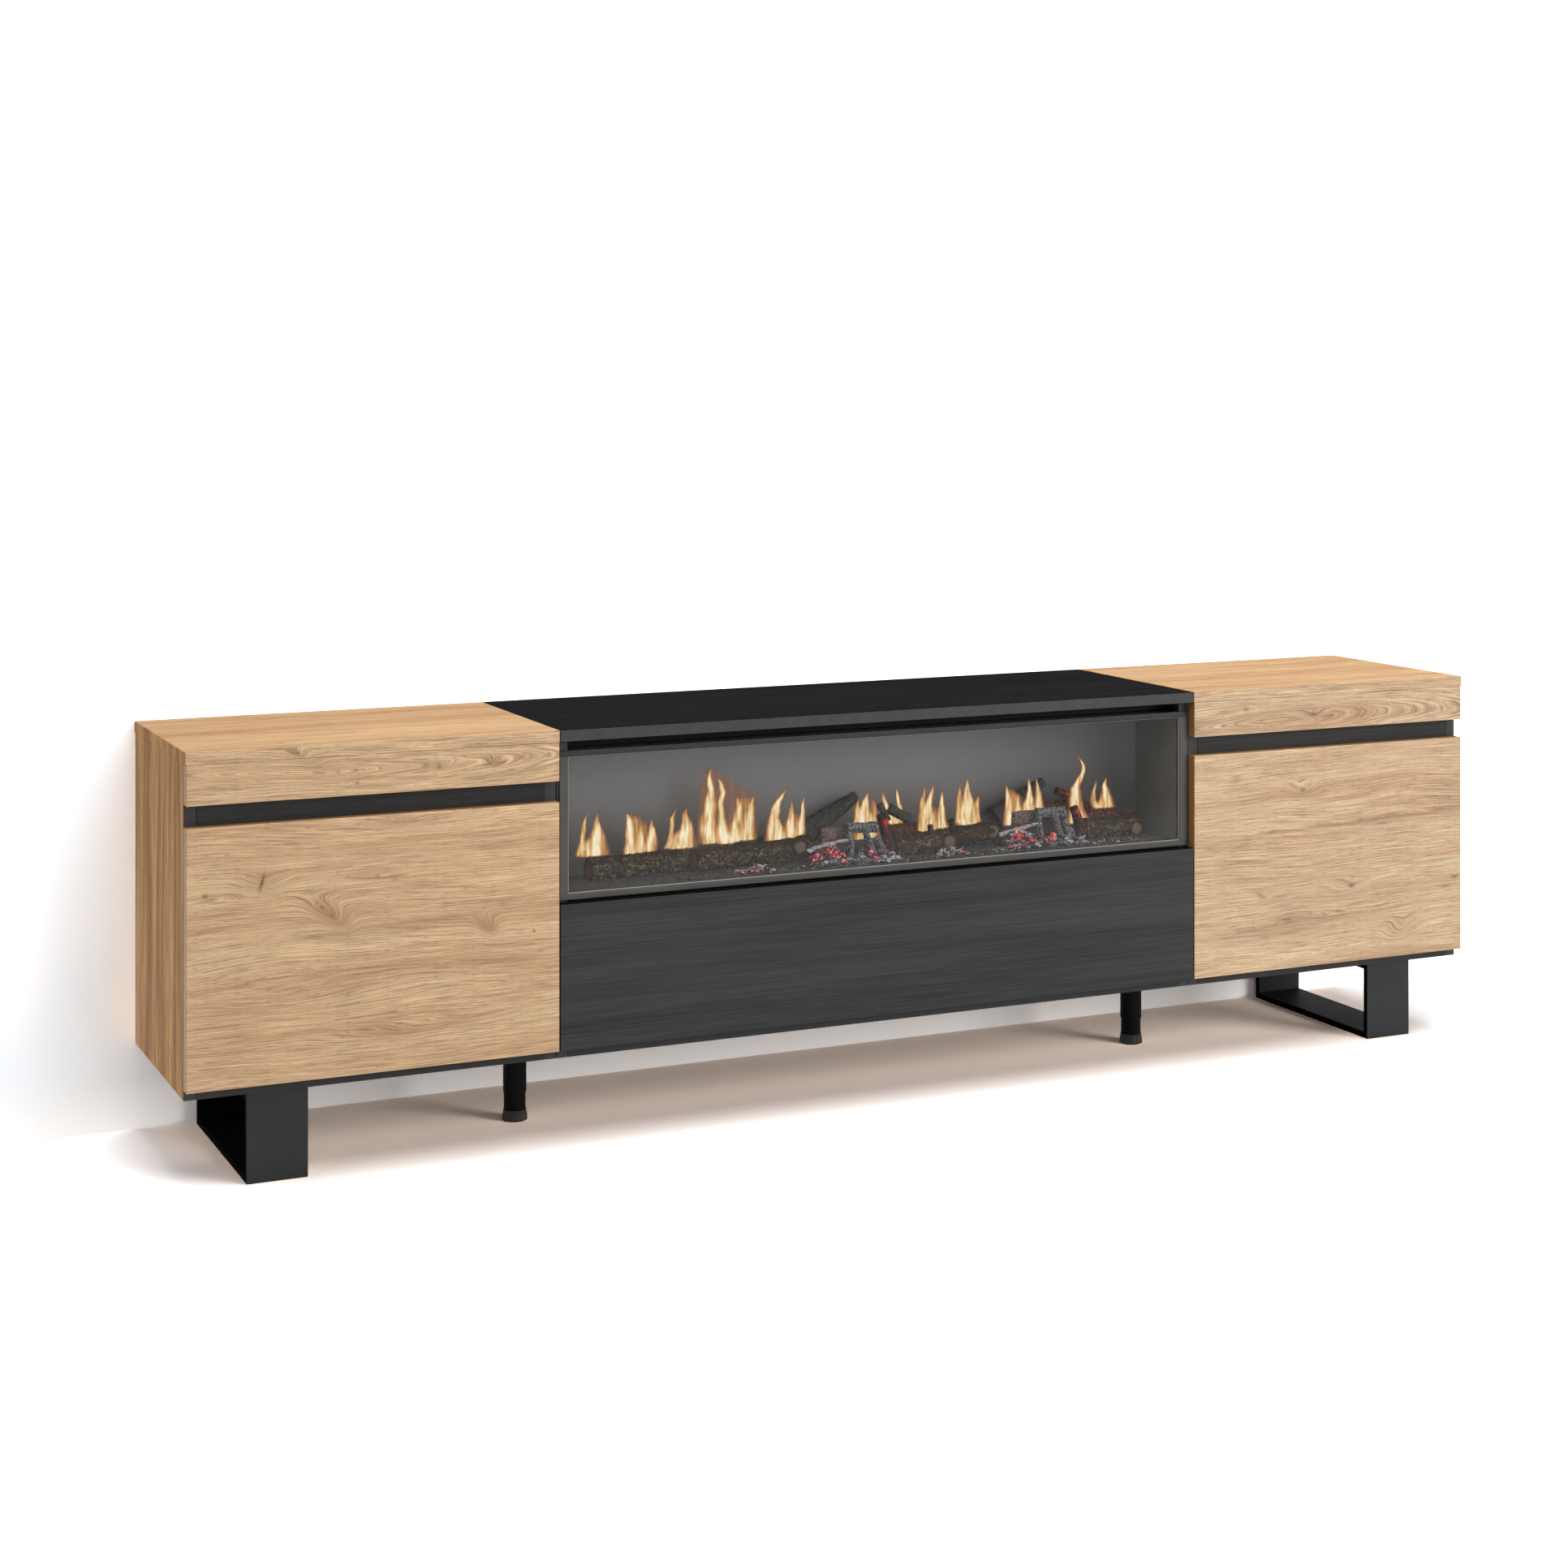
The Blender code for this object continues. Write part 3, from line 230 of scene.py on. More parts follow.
# Marks of the oak fronts: along, across, reach along and across, lean in degrees, push of the grain, darkness
MARKS = {
    "left_door": (
        (-903, 389, 3, 13, -16, 0, 0.85),
        (-903, 388, 30, 16, 0, 12, 0.22),
        (-975.1, 377.4, 5, 3.5, 0, 0, 0.7),
        (-960, 376, 50, 5, 2, -6, 0.22),
        (-811, 338, 9, 6, -35, 0, 0.55),
        (-816, 342, 33, 12, -35, 30, 0.38),
        (-740, 383, 55, 3, -2, 4, 0.42),
        (-728, 380, 6, 4, 0, 0, 0.35),
        (-604, 310, 18, 10, -40, 18, 0.34),
        (-538, 295.6, 1.6, 1.6, 0, 0, 0.9),
        (-715, 454, 40, 6, 2, 6, 0.26),
        (-790, 315, 160, 6, 3, 0, 0.2),
        (-690, 185, 130, 10, 4, 10, 0.2),
        (-900, 230, 110, 12, 1, 8, 0.12),
    ),
    "left_fascia": (
        (-858.7, 551, 12, 5, -20, 6, 0.5),
        (-845, 540, 50, 10, -20, 6, 0.16),
        (-779, 507.7, 3, 2, 0, 0, 0.55),
        (-650, 523, 20, 5, 10, 10, 0.2),
        (-590, 525, 12, 6, 0, 10, 0.3),
    ),
    "right_door": (
        (698, 401, 7, 4, 0, 0, 0.72),
        (696, 403, 28, 11, 0, 14, 0.24),
        (575.3, 423.9, 9, 5, 0, 6, 0.34),
        (790, 345, 150, 3.6, 2, 4, 0.42),
        (930, 350, 90, 3.6, 4, 0, 0.34),
        (641.5, 339.6, 14, 2.2, 0, 0, 0.5),
        (845.6, 339.7, 12, 2.2, 0, 0, 0.5),
        (788.8, 247.6, 7, 4, 0, 0, 0.72),
        (780, 244, 50, 12, 10, 12, 0.1),
        (986.6, 246.7, 6, 4, 0, 6, 0.7),
        (623.7, 243.8, 12, 3, -30, 8, 0.34),
        (655, 242, 22, 1.8, 8, 0, 0.34),
        (730, 201, 150, 11, 4, 8, 0.22),
        (881.2, 171.9, 30, 16, 20, 18, 0.06),
    ),
    "right_fascia": (
        (717.6, 515.2, 8, 4, 0, 0, 0.66),
        (720, 515, 26, 9, 0, 10, 0.2),
        (595, 529, 5, 3, 0, 0, 0.5),
        (930, 510, 80, 5, 2, 4, 0.22),
    ),
}

# Oak fronts: node, loop of grain (along and across in metres, squeeze), tone, warmth, seed
FRONTS = (
    ("left_door", None, 1.0, 0.24, 0.0),
    ("left_fascia", (-0.865, 0.532, 0.065), 0.96, 0.24, 1.0),
    ("right_door", None, 1.0, -0.16, 2.0),
    ("right_fascia", (0.64, 0.511, 0.075), 0.95, -0.16, 3.0),
)

# Seed of the blocks' vector noise, which would take the clock's otherwise and differ in each run
NOISE_SEED = 1

# Height on which the heaps of the bed stand, and the places of three of their materials
HEAP_FOOT = 0.3375
ASH_SLOT, EMBER_SLOT, DARK_SLOT = 1, 2, 3

# Depth of the flames, and the step between neighbours that keeps them apart
FLAME_PLANE = -0.076
FLAME_STAGGER = 0.0016

# Height of the band of painted shade along the bezel's head
BEZEL_SHADE_BAND = 0.008

BLACK = (0.0, 0.0, 0.0)
WHITE = (1.0, 1.0, 1.0)

# Painted shadow and light on floor and wall: brightness by how open they are, and how it changes along them: from x, to
# x, at both ends
FLOOR_SHADOW = (
    (0.10, (4.98, 4.12, 3.48)),
    (0.24, (1.90, 1.42, 1.18)),
    (0.36, (1.85, 1.55, 1.40)),
    (0.48, (1.50, 1.39, 1.34)),
    (0.64, (1.60, 1.57, 1.55)),
    (0.85, (2.10, 2.10, 2.10)),
)
FLOOR_FADE = (-1.10, -0.84, 1.25, 0.75)
WALL_SHADOW = (
    (0.32, (2.90, 2.65, 2.48)),
    (0.44, (2.61, 2.50, 2.41)),
    (0.58, (1.75, 1.90, 2.05)),
    (0.68, (1.62, 1.85, 2.05)),
    (0.80, (1.95, 2.02, 2.12)),
    (0.97, (2.45, 2.41, 2.36)),
)
WALL_FADE = (-1.15, -1.02, 1.0, 0.88)

# Height of the cloth behind the wall, and the camera's place and its turn in degrees
FLAG_HEIGHT = 0.13
CAMERA_PLACE = (-1.6928, -3.479, 1.0403)
CAMERA_TURN = -24.648


def linear(code):
    """Linear colour of an sRGB hex value."""
    channels = [int(code[i : i + 2], 16) / 255 for i in (1, 3, 5)]
    return tuple(c / 12.92 if c <= 0.04045 else ((c + 0.055) / 1.055) ** 2.4 for c in channels)


def shade(colour, factor=1.0):
    """Linear colour, also of an sRGB hex value, made lighter or darker."""
    channels = linear(colour) if isinstance(colour, str) else colour
    return tuple(min(1.0, c * factor) for c in channels)


def colour_prop(name, description, code):
    """Colour setting with its default given as sRGB hex."""
    return FloatVectorProperty(
        name=name, description=description, default=linear(code), size=3, min=0.0, max=1.0, subtype="COLOR"
    )


def length_prop(name, description, metres):
    """Length setting in metres."""
    return FloatProperty(name=name, description=description, default=metres, min=0.0, unit="LENGTH")


class StandColours(bpy.types.PropertyGroup):
    """Colours of the stand's finishes."""

    oak_light: colour_prop("Oak, light", "Lightest bands of the oak decor", "#dabe98")
    oak_mid: colour_prop("Oak, middle", "Body colour of the oak decor", "#cdac89")
    oak_dark: colour_prop("Oak, dark", "Darkest bands of the oak decor", "#b89270")
    oak_line: colour_prop("Oak, growth lines", "Thin growth lines of the oak decor", "#8f6a48")
    oak_pore: colour_prop("Oak, pores", "Short open pores of the oak decor", "#6b4a2e")
    oak_edge: colour_prop("Oak, edge band", "Glued edge band of the oak boards", "#9c7247")
    laminate: colour_prop("Black laminate", "Fronts and sides in black laminate", "#333333")
    laminate_top: colour_prop("Black laminate, top", "Top board in black laminate", "#181818")
    laminate_edge: colour_prop("Black edge band", "Edge band of the black boards", "#3b3b3b")
    back_board: colour_prop("Back board", "Thin board that closes the back", "#7d6247")
    coat: colour_prop("Powder coat", "Legs in powder-coated steel", "#272829")
    bezel: colour_prop("Bezel", "Coated sheet round the glass", "#4e4c49")
    screen: colour_prop("Flame screen", "Screen behind the fuel bed", "#69696a")
    bark: colour_prop("Bark", "Mossy bark of the logs", "#43342b")
    char: colour_prop("Charred wood", "Charred sticks and blocks", "#1d1b1a")
    ember: colour_prop("Ember", "Glow of the embers", "#d8262a")
    flame_core: colour_prop("Flame, core", "Bright middle of a flame", "#fcf0d0")
    flame_edge: colour_prop("Flame, edge", "Soft rim of a flame", "#b98246")


class StandSizes(bpy.types.PropertyGroup):
    """Sizes of the patterns and of the fire's loose pieces."""

    pore_width: length_prop("Pore width", "Width of a drawn oak pore", 0.0009)
    pore_length: length_prop("Pore length", "Length of a drawn oak pore", 0.034)
    ring_step: length_prop("Ring step", "Distance between two growth rings", 0.0082)
    grain_wander: length_prop("Grain wander", "How far the grain strays from straight", 0.034)
    laminate_line: length_prop("Laminate line", "Width of the black laminate's grain lines", 0.0016)
    powder_grain: length_prop("Powder grain", "Orange peel of the powder coat", 0.0012)
    bark_depth: length_prop("Bark depth", "Depth of the bark's furrows", 0.0022)
    coal_size: length_prop("Coal size", "Radius of an ember coal", 0.0058)
    flame_depth: length_prop("Flame depth", "Thickness of a flame", 0.0006)
    flame_step: length_prop("Flame step", "Distance between the places at which a flame's heat is set", 0.0009)


class StudioSettings(bpy.types.PropertyGroup):
    """Floor, wall and camera of the studio."""

    floor_reach: length_prop("Floor reach", "Half the side of the floor", 14.0)
    wall_gap: length_prop("Wall gap", "Clearance between the stand and the wall", 0.0012)
    lens: FloatProperty(name="Lens", description="Camera's focal length in mm", default=60.32, min=10.0)
    shift: FloatProperty(name="Shift", description="Camera's upward shift", default=-0.2636)


class Nodes:
    """Node tree of a new material or world. Each method adds nodes and gives the socket that comes out."""

    def __init__(self, owner):
        self.owner = owner
        owner.use_nodes = True
        self.tree = owner.node_tree
        self.tree.nodes.clear()

    def add(self, kind, inputs=None, out=0, stops=(), **settings):
        """Adds one node with its settings, its values and the links that come into it."""
        node = self.tree.nodes.new("ShaderNode" + kind)
        for name, value in settings.items():
            setattr(node, name, value)
        for key, value in (inputs or {}).items():
            socket = node.inputs[key]
            if isinstance(value, bpy.types.NodeSocket):
                self.tree.links.new(value, socket)
            else:
                socket.default_value = (*shade(value), 1.0) if socket.type == "RGBA" else value
        if stops:
            elements = node.color_ramp.elements
            elements[0].position = stops[0][0]
            elements[1].position = stops[-1][0]
            for place, _ in stops[1:-1]:
                elements.new(place)
            for element, (_, colour) in zip(elements, stops):
                element.color = (*shade(colour), 1.0)
        return node.outputs[out] if len(node.outputs) else None

    def calc(self, operation, *values, clamp=False):
        """One step of arithmetic."""
        return self.add("Math", dict(enumerate(values)), operation=operation, use_clamp=clamp)

    def length(self, vector):
        """Length of a vector."""
        return self.add("VectorMath", {0: vector}, "Value", operation="LENGTH")

    def scaled(self, vector, factors):
        """Vector with each of its parts scaled."""
        return self.add("VectorMath", {0: vector, 1: factors}, operation="MULTIPLY")

    def dimmed(self, colour, factor):
        """Colour scaled by one factor."""
        return self.add("VectorMath", {0: colour, "Scale": factor}, operation="SCALE")

    def axis(self, vector, name):
        """One part of a vector."""
        return self.add("SeparateXYZ", {0: vector}, name)

    def place(self, factors=(1.0, 1.0, 1.0)):
        """Place in the shared frame, scaled."""
        return self.scaled(self.add("TexCoord", out="Object"), factors)

    def own_place(self, *factors):
        """Place in a piece's own axes, scaled."""
        own = self.add("Attribute", out="Vector", attribute_name="own_place", attribute_type="GEOMETRY")
        return self.scaled(own, factors)

    def noise(self, place, detail=2.0, scale=1.0, roughness=0.5, distortion=0.0):
        """Noise from 0 to 1."""
        inputs = {"Vector": place, "Scale": scale, "Detail": detail, "Roughness": roughness, "Distortion": distortion}
        return self.add("TexNoise", inputs, "Fac")

    def plates(self, *factors):
        """Distance to the edge of broken plates."""
        inputs = {"Vector": self.own_place(*factors), "Scale": 1.0}
        return self.add("TexVoronoi", inputs, "Distance", feature="DISTANCE_TO_EDGE")

    def span(self, value, low=0.0, high=1.0, start=0.0, end=1.0, kind="LINEAR"):
        """Value carried from one span to another and held within it."""
        inputs = {"Value": value, "From Min": low, "From Max": high, "To Min": start, "To Max": end}
        return self.add("MapRange", inputs, interpolation_type=kind)

    def blend(self, first, share, second):
        """Weighted mean of two values."""
        return self.calc("MULTIPLY_ADD", first, share, self.calc("MULTIPLY", second, 1.0 - share))

    def mix(self, share, first, second):
        """Mix of two colours."""
        return self.add("Mix", {"Factor": share, 6: first, 7: second}, 2, data_type="RGBA")

    def ramp(self, value, *stops):
        """Colour read from stops, which are places with their colours."""
        return self.add("ValToRGB", {0: value}, stops=stops)

    def tones(self, value, colour, *stops):
        """Shade of one colour read from stops, which are places with their factors."""
        return self.ramp(value, *((place, shade(colour, factor)) for place, factor in stops))

    def bump(self, height, strength, distance=0.0002, **settings):
        """Normal of a fine relief."""
        return self.add("Bump", {"Height": height, "Strength": strength, "Distance": distance}, **settings)

    def close(self, shader, kind="OutputMaterial"):
        """Ends the tree and gives its material or world."""
        self.add(kind, {"Surface": shader})
        return self.owner

    def surface(self, colour, rough, sheen=0.5, bump=None, glow=None, strength=0.0, metal=0.0, alpha=1.0):
        """Ends the tree with one Principled shader."""
        inputs = {"Base Color": colour, "Roughness": rough, "Specular IOR Level": sheen, "Metallic": metal}
        inputs["Alpha"] = alpha
        if bump is not None:
            inputs["Normal"] = bump
        if glow is not None:
            inputs["Emission Color"] = glow
            inputs["Emission Strength"] = strength
        return self.close(self.add("BsdfPrincipled", inputs))


def start(name):
    """Nodes of a new material."""
    return Nodes(bpy.data.materials.new(name))


def oak_finish(name, turn, marks=(), loop=None, tone=1.0, warmth=0.0, contrast=1.0, sheen=0.22, seed=0.0):
    """Oak decor melamine: printed oak under a matt embossed film. It gives the eye quiet tan bands, thin
    growth lines that flow round the knots, short dark pores and a soft sheen."""
    colours = bpy.context.scene.tv_stand_colours
    sizes = bpy.context.scene.tv_stand_sizes
    nodes = start(name)
    placed = nodes.add("Mapping", {"Vector": nodes.place(), "Rotation": turn, "Location": (0.0, 0.0, seed)})
    along, field, deep = (nodes.axis(placed, axis) for axis in "XYZ")
    # The grain strays in swells 400 mm long and in smaller ones 160 mm long
    for swell, reach in (((2.5, 12.0, 9.0), sizes.grain_wander), ((6.0, 30.0, 30.0), sizes.grain_wander * 0.12)):
        waves = nodes.noise(nodes.scaled(placed, swell), 1.0)
        field = nodes.calc("MULTIPLY_ADD", nodes.calc("ADD", waves, -0.5), reach, field)
    spots = None
    for mark_along, mark_across, reach_along, reach_across, lean, push, dark in marks:
        near = nodes.add(
            "Mapping",
            {
                "Vector": placed,
                "Location": (mark_along / 1000, mark_across / 1000, seed),
                "Rotation": (0.0, 0.0, math.radians(lean)),
                "Scale": (reach_along / 1000, reach_across / 1000, 9.0),
            },
            vector_type="TEXTURE",
        )
        squared = nodes.add("VectorMath", {0: near, 1: near}, "Value", operation="DOT_PRODUCT")
        fall = nodes.calc("POWER", math.exp(-1.0), squared)
        if push:
            field = nodes.calc("MULTIPLY_ADD", fall, push / 1000, field)
        if dark:
            spot = nodes.calc("MULTIPLY", fall, dark)
            spots = spot if spots is None else nodes.calc("MAXIMUM", spots, spot)
    if loop:
        loop_along, loop_across, squeeze = loop
        away_along = nodes.calc("MULTIPLY", nodes.calc("ADD", along, -loop_along), squeeze)
        away_across = nodes.calc("ADD", field, -loop_across)
        field = nodes.length(nodes.add("CombineXYZ", {"X": away_along, "Y": away_across, "Z": 0.004}))
    flow = nodes.add("CombineXYZ", {"X": along, "Y": field, "Z": deep})
    # Bands 45 mm wide and 800 mm long, strands 9 mm wide, fibres 1.1 mm wide and 90 mm long, broken lines
    # 4 mm wide and 70 mm long, pores in the sizes set, and the patches in which pores and lines crowd
    bands, strands, fibres, breaks, pores, flecks, crowds = (
        nodes.noise(nodes.scaled(flow, spread), detail, roughness=0.6)
        for spread, detail in (
            ((1.3, 22.0, 6.0), 2.0),
            ((3.5, 110.0, 20.0), 3.0),
            ((11.0, 900.0, 90.0), 2.0),
            ((14.0, 260.0, 30.0), 1.0),
            ((1 / sizes.pore_length, 1 / sizes.pore_width, 300.0), 1.0),
            ((2.6 / sizes.pore_length, 1.1 / sizes.pore_width, 500.0), 0.0),
            ((5.0, 48.0, 30.0), 1.0),
        )
    )
    warm = ((1.0 + 0.05 * warmth) * tone, (1.0 - 0.08 * warmth) * tone, (1.0 - 0.26 * warmth) * tone)
    dark, mid, light, line, pore = (
        tuple(min(1.0, c * w) for c, w in zip(colour, warm))
        for colour in (colours.oak_dark, colours.oak_mid, colours.oak_light, colours.oak_line, colours.oak_pore)
    )
    reach = 0.195 / contrast
    wide = 0.12 * (contrast - 1.0)
    stops = ((0.50 - reach, shade(dark, 1.0 - wide)), (0.50, mid), (0.50 + reach, shade(light, 1.0 + wide)))
    body = nodes.ramp(nodes.blend(bands, 0.68, strands), *stops)
    body = nodes.dimmed(body, nodes.span(fibres, 0.3, 0.7, 0.6, 1.4))
    # Growth lines: each ring darkens slowly and ends sharply, and its line is broken here and there
    rings = nodes.calc("MULTIPLY_ADD", bands, 3.0, nodes.calc("MULTIPLY", field, 1 / sizes.ring_step))
    rise = nodes.span(nodes.calc("FRACT", rings), 0.76, 0.97, kind="SMOOTHSTEP")
    shown = nodes.span(crowds, 0.38, 0.66, 0.10, min(0.95, (0.54 if loop else 0.42) * contrast))
    kept = nodes.calc("MULTIPLY", shown, nodes.span(breaks, 0.40, 0.56, 0.25))
    body = nodes.mix(nodes.calc("MULTIPLY", rise, kept), body, line)
    # Real pores are 0.2 to 0.4 mm wide; they are drawn 0.9 mm wide so that they show
    edge = nodes.calc("MULTIPLY_ADD", crowds, -0.22, 0.74 - 0.03 * contrast)
    long_pores = nodes.calc("MULTIPLY", nodes.calc("SUBTRACT", pores, edge), 14.0, clamp=True)
    drawn = nodes.calc("MAXIMUM", long_pores, nodes.span(flecks, 0.66, 0.74, 0.0, 0.8))
    body = nodes.mix(nodes.calc("MULTIPLY", drawn, 0.46), body, pore)
    if spots is not None:
        body = nodes.mix(spots, body, shade(pore, 0.85))
    rough = nodes.span(strands, start=0.66, end=0.54)
    return nodes.surface(body, rough, sheen, nodes.bump(drawn, 0.25, invert=True))


def laminate_finish(name, turn, colour, roughness=0.55, lines=1.0, sheen=0.15):
    """Black wood-grain melamine: dyed paper under a brushed matt film. It gives the eye a near-black board
    with faint lines along its length."""
    nodes = start(name)
    turned = nodes.add("Mapping", {"Vector": nodes.place(), "Rotation": turn})
    # Real grain lines are 0.3 mm wide; they are drawn 1.6 mm wide so that they show
    line_width = bpy.context.scene.tv_stand_sizes.laminate_line
    fine = nodes.noise(nodes.scaled(turned, (9.0, 1 / line_width, 40.0)), 3.0, roughness=0.6)
    wide = nodes.noise(nodes.scaled(turned, (1.8, 38.0, 10.0)))
    stops = ((0.34, 1.0 - 0.30 * lines), (0.50, 1.0), (0.66, 1.0 + 0.30 * lines))
    body = nodes.tones(nodes.blend(wide, 0.4, fine), colour, *stops)
    rough = nodes.span(fine, start=roughness - 0.08, end=roughness + 0.08)
    return nodes.surface(body, rough, sheen, nodes.bump(fine, 0.2))


def edge_finish(name, colour):
    """Edge band: ABS strip glued on the cut edge. It gives the eye one quiet tone with faint saw lines."""
    nodes = start(name)
    lines = nodes.noise(nodes.place((60.0, 900.0, 60.0)))
    return nodes.surface(nodes.tones(lines, colour, (0.35, 0.93), (0.65, 1.06)), 0.5, 0.2)


def fibre_finish(name, colour):
    """Hardboard: pressed wood fibre with a smooth face. It gives the eye a flat brown sheet flecked with fibres."""
    nodes = start(name)
    # Fibres about 3 mm long
    flecks = nodes.noise(nodes.place((330.0, 330.0, 620.0)), 3.0, roughness=0.7)
    clouds = nodes.noise(nodes.place(), scale=9.0)
    body = nodes.tones(nodes.blend(clouds, 0.3, flecks), colour, (0.36, 0.74), (0.64, 1.25))
    return nodes.surface(body, 0.72, bump=nodes.bump(flecks, 0.25))


def powder_finish(name, colour, roughness=0.5, sheen=0.2, lip=None, head=None):
    """Powder-coated steel: baked polyester powder. It gives the eye a satin black with a fine orange peel."""
    nodes = start(name)
    place = nodes.place()
    grain = nodes.noise(place, scale=1 / bpy.context.scene.tv_stand_sizes.powder_grain)
    body = nodes.tones(nodes.noise(place, scale=14.0), colour, (0.3, 0.9), (0.7, 1.12))
    if lip:
        # Painted highlight: a bright line runs along the inner lip, 1 mm wide
        bright = nodes.span(nodes.axis(place, "Y"), lip - 0.0012, lip - 0.0009)
        body = nodes.mix(bright, body, "#8d8b86")
    if head:
        # Painted shade: the coat above this height is darkened, as it lies in the shade of the recess over it
        body = nodes.dimmed(body, nodes.span(nodes.axis(place, "Z"), head - 0.001, head, 1.0, 0.42))
    rough = nodes.span(grain, start=roughness - 0.07, end=roughness + 0.07)
    return nodes.surface(body, rough, sheen, nodes.bump(grain, 0.22))


def metal_finish(name, colour, roughness):
    """Bare or plated metal: pressed sheet with rolling lines. It gives the eye a bright metal whose
    highlights spread across the lines."""
    nodes = start(name)
    lines = nodes.noise(nodes.place((60.0, 2400.0, 60.0)), 3.0)
    body = nodes.tones(lines, colour, (0.3, 0.86), (0.7, 1.06))
    return nodes.surface(body, nodes.span(lines, start=roughness - 0.08, end=roughness + 0.1), metal=1.0)


def plastic_finish(name, colour):
    """Moulded ABS: spark-eroded mould grain. It gives the eye a dull black with a fine stipple."""
    nodes = start(name)
    # Mould grain is about 0.1 mm; it is drawn at 0.7 mm so that it shows
    grain = nodes.add("TexVoronoi", {"Vector": nodes.place(), "Scale": 1400.0}, "Distance")
    body = nodes.tones(grain, colour, (0.1, 0.85), (0.8, 1.2))
    return nodes.surface(body, 0.42, bump=nodes.bump(grain, 0.15, 0.0001))


def screen_finish(name, colour):
    """Flame screen: rolled acrylic with a satin mirror back. It gives the eye a mid grey with painted light and
    shade: lighter towards the top, fading to the right and down to the bed, and glowing faintly."""
    nodes = start(name)
    place = nodes.place()
    # Painted light and shade: lighter towards the top, darker to the right and down to the bed; the colour also glows
    rise = nodes.span(nodes.axis(place, "Z"), 0.34, 0.47, 0.38, 1.0, "SMOOTHSTEP")
    side = nodes.span(nodes.axis(place, "X"), 0.47, 0.10, 0.48, 1.0, "SMOOTHSTEP")
    weave = nodes.span(nodes.noise(nodes.place((420.0, 60.0, 80.0))), start=0.92, end=1.08)
    level = nodes.calc("MULTIPLY", nodes.calc("MULTIPLY", rise, side), weave)
    body = nodes.mix(level, shade(colour, 0.05), colour)
    return nodes.surface(body, 0.6, 0.2, glow=body, strength=0.40)


def glass_finish(name):
    """Toughened float glass with a grey tint: rolled flat. It gives the eye a thin veil over the fire and a
    clean reflection."""
    nodes = start(name)
    place = nodes.place()
    rough = nodes.span(nodes.noise(place, scale=6.0), start=0.05, end=0.09)
    veil = nodes.span(nodes.axis(place, "Z"), 0.40, 0.33, 0.04, 0.11)
    return nodes.surface("#7d7a76", rough, alpha=veil)


def lamp_finish(name):
    """Lamp strip: light-emitting chips under a milky polycarbonate cover. It gives the eye a warm strip
    with a row of brighter spots."""
    nodes = start(name)
    # A chip every 12 mm
    wave = nodes.calc("COSINE", nodes.calc("MULTIPLY", nodes.axis(nodes.place(), "X"), math.tau / 0.012))
    body = nodes.ramp(wave, (0.2, "#c9a26a"), (0.95, "#ffe9bd"))
    return nodes.surface(body, 0.35, glow=body, strength=0.5)


def bark_finish(name, colour, moss="#80704a"):
    """Bark of a cast resin log: painted and dry-brushed. It gives the eye crumbly dark brown with
    olive moss on its flank and a top darkened by painted shade."""
    nodes = start(name)
    fine = nodes.noise(nodes.own_place(400.0, 400.0, 360.0), 4.0, roughness=0.7)
    body = nodes.tones(fine, colour, (0.42, 0.2), (0.50, 0.7), (0.60, 2.8))
    patches = nodes.noise(nodes.own_place(170.0, 170.0, 130.0), 3.0)
    mask = nodes.span(nodes.calc("MULTIPLY", patches, fine), 0.262, 0.315, 0.0, 0.9)
    body = nodes.mix(mask, body, moss)
    deep = shade(colour, 0.15)
    body = nodes.mix(nodes.span(nodes.plates(230.0, 230.0, 150.0), 0.0, 0.12, 0.8, 0.0), body, deep)
    # Painted shade: faces that look up are darkened, as they lie in shade
    upward = nodes.axis(nodes.add("TexCoord", out="Normal"), "Z")
    body = nodes.mix(nodes.span(upward, 0.25, 0.75, 0.0, 0.75), body, deep)
    return nodes.surface(body, 0.9, 0.2, nodes.bump(fine, 0.7, 0.001))


def cut_finish(name, inner, outer, reach):
    """Sawn end of a log: bare wood, painted. It gives the eye rings round the pith and a dark rim."""
    nodes = start(name)
    place = nodes.own_place(1.0, 1.0, 0.0)
    away = nodes.calc("MULTIPLY_ADD", nodes.noise(place, scale=160.0), 0.004, nodes.length(place))
    # Growth rings 2.6 mm apart
    wave = nodes.calc("SINE", nodes.calc("MULTIPLY", away, 2400.0))
    rings = nodes.mix(nodes.span(wave, -1.0), shade(inner, 0.5), inner)
    body = nodes.mix(nodes.span(away, reach * 0.9, reach * 1.2), rings, outer)
    return nodes.surface(body, 0.85, 0.2)


def char_finish(name, colour, ash, cover, glow=0.0, heat=0.55):
    """Charred wood, cast and painted: shrunk into small plates. It gives the eye broken black with ash
    scattered over it and, where glow is given, red patches of painted glow that turn pink in their middle."""
    nodes = start(name)
    # Char plates about 4 mm across and 6 mm along the wood
    plates = nodes.plates(250.0, 250.0, 160.0)
    fine = nodes.noise(nodes.own_place(300.0, 300.0, 300.0), 5.0, roughness=0.75)
    limit = 0.66 - 0.30 * cover
    middle = tuple((c + a) / 2 for c, a in zip(shade(colour), shade(ash)))
    stops = ((limit - 0.16, shade(colour, 0.5)), (limit - 0.04, colour), (limit, middle), (limit + 0.08, ash))
    body = nodes.mix(nodes.span(plates, 0.0, 0.09, 0.85, 0.0), nodes.ramp(fine, *stops), shade(colour, 0.25))
    hot = None
    if glow:
        # Painted glow: patches about 9 mm across
        warm = nodes.noise(nodes.own_place(110.0, 110.0, 110.0), 4.0, roughness=0.6)
        ember = bpy.context.scene.tv_stand_colours.ember
        stops = ((heat - 0.05, BLACK), (heat + 0.01, shade(ember, 0.30)), (heat + 0.08, ember))
        hot = nodes.ramp(warm, *stops, (heat + 0.16, "#ff8f80"))
    return nodes.surface(body, 0.85, 0.25, nodes.bump(plates, 0.7, 0.001), hot, glow)


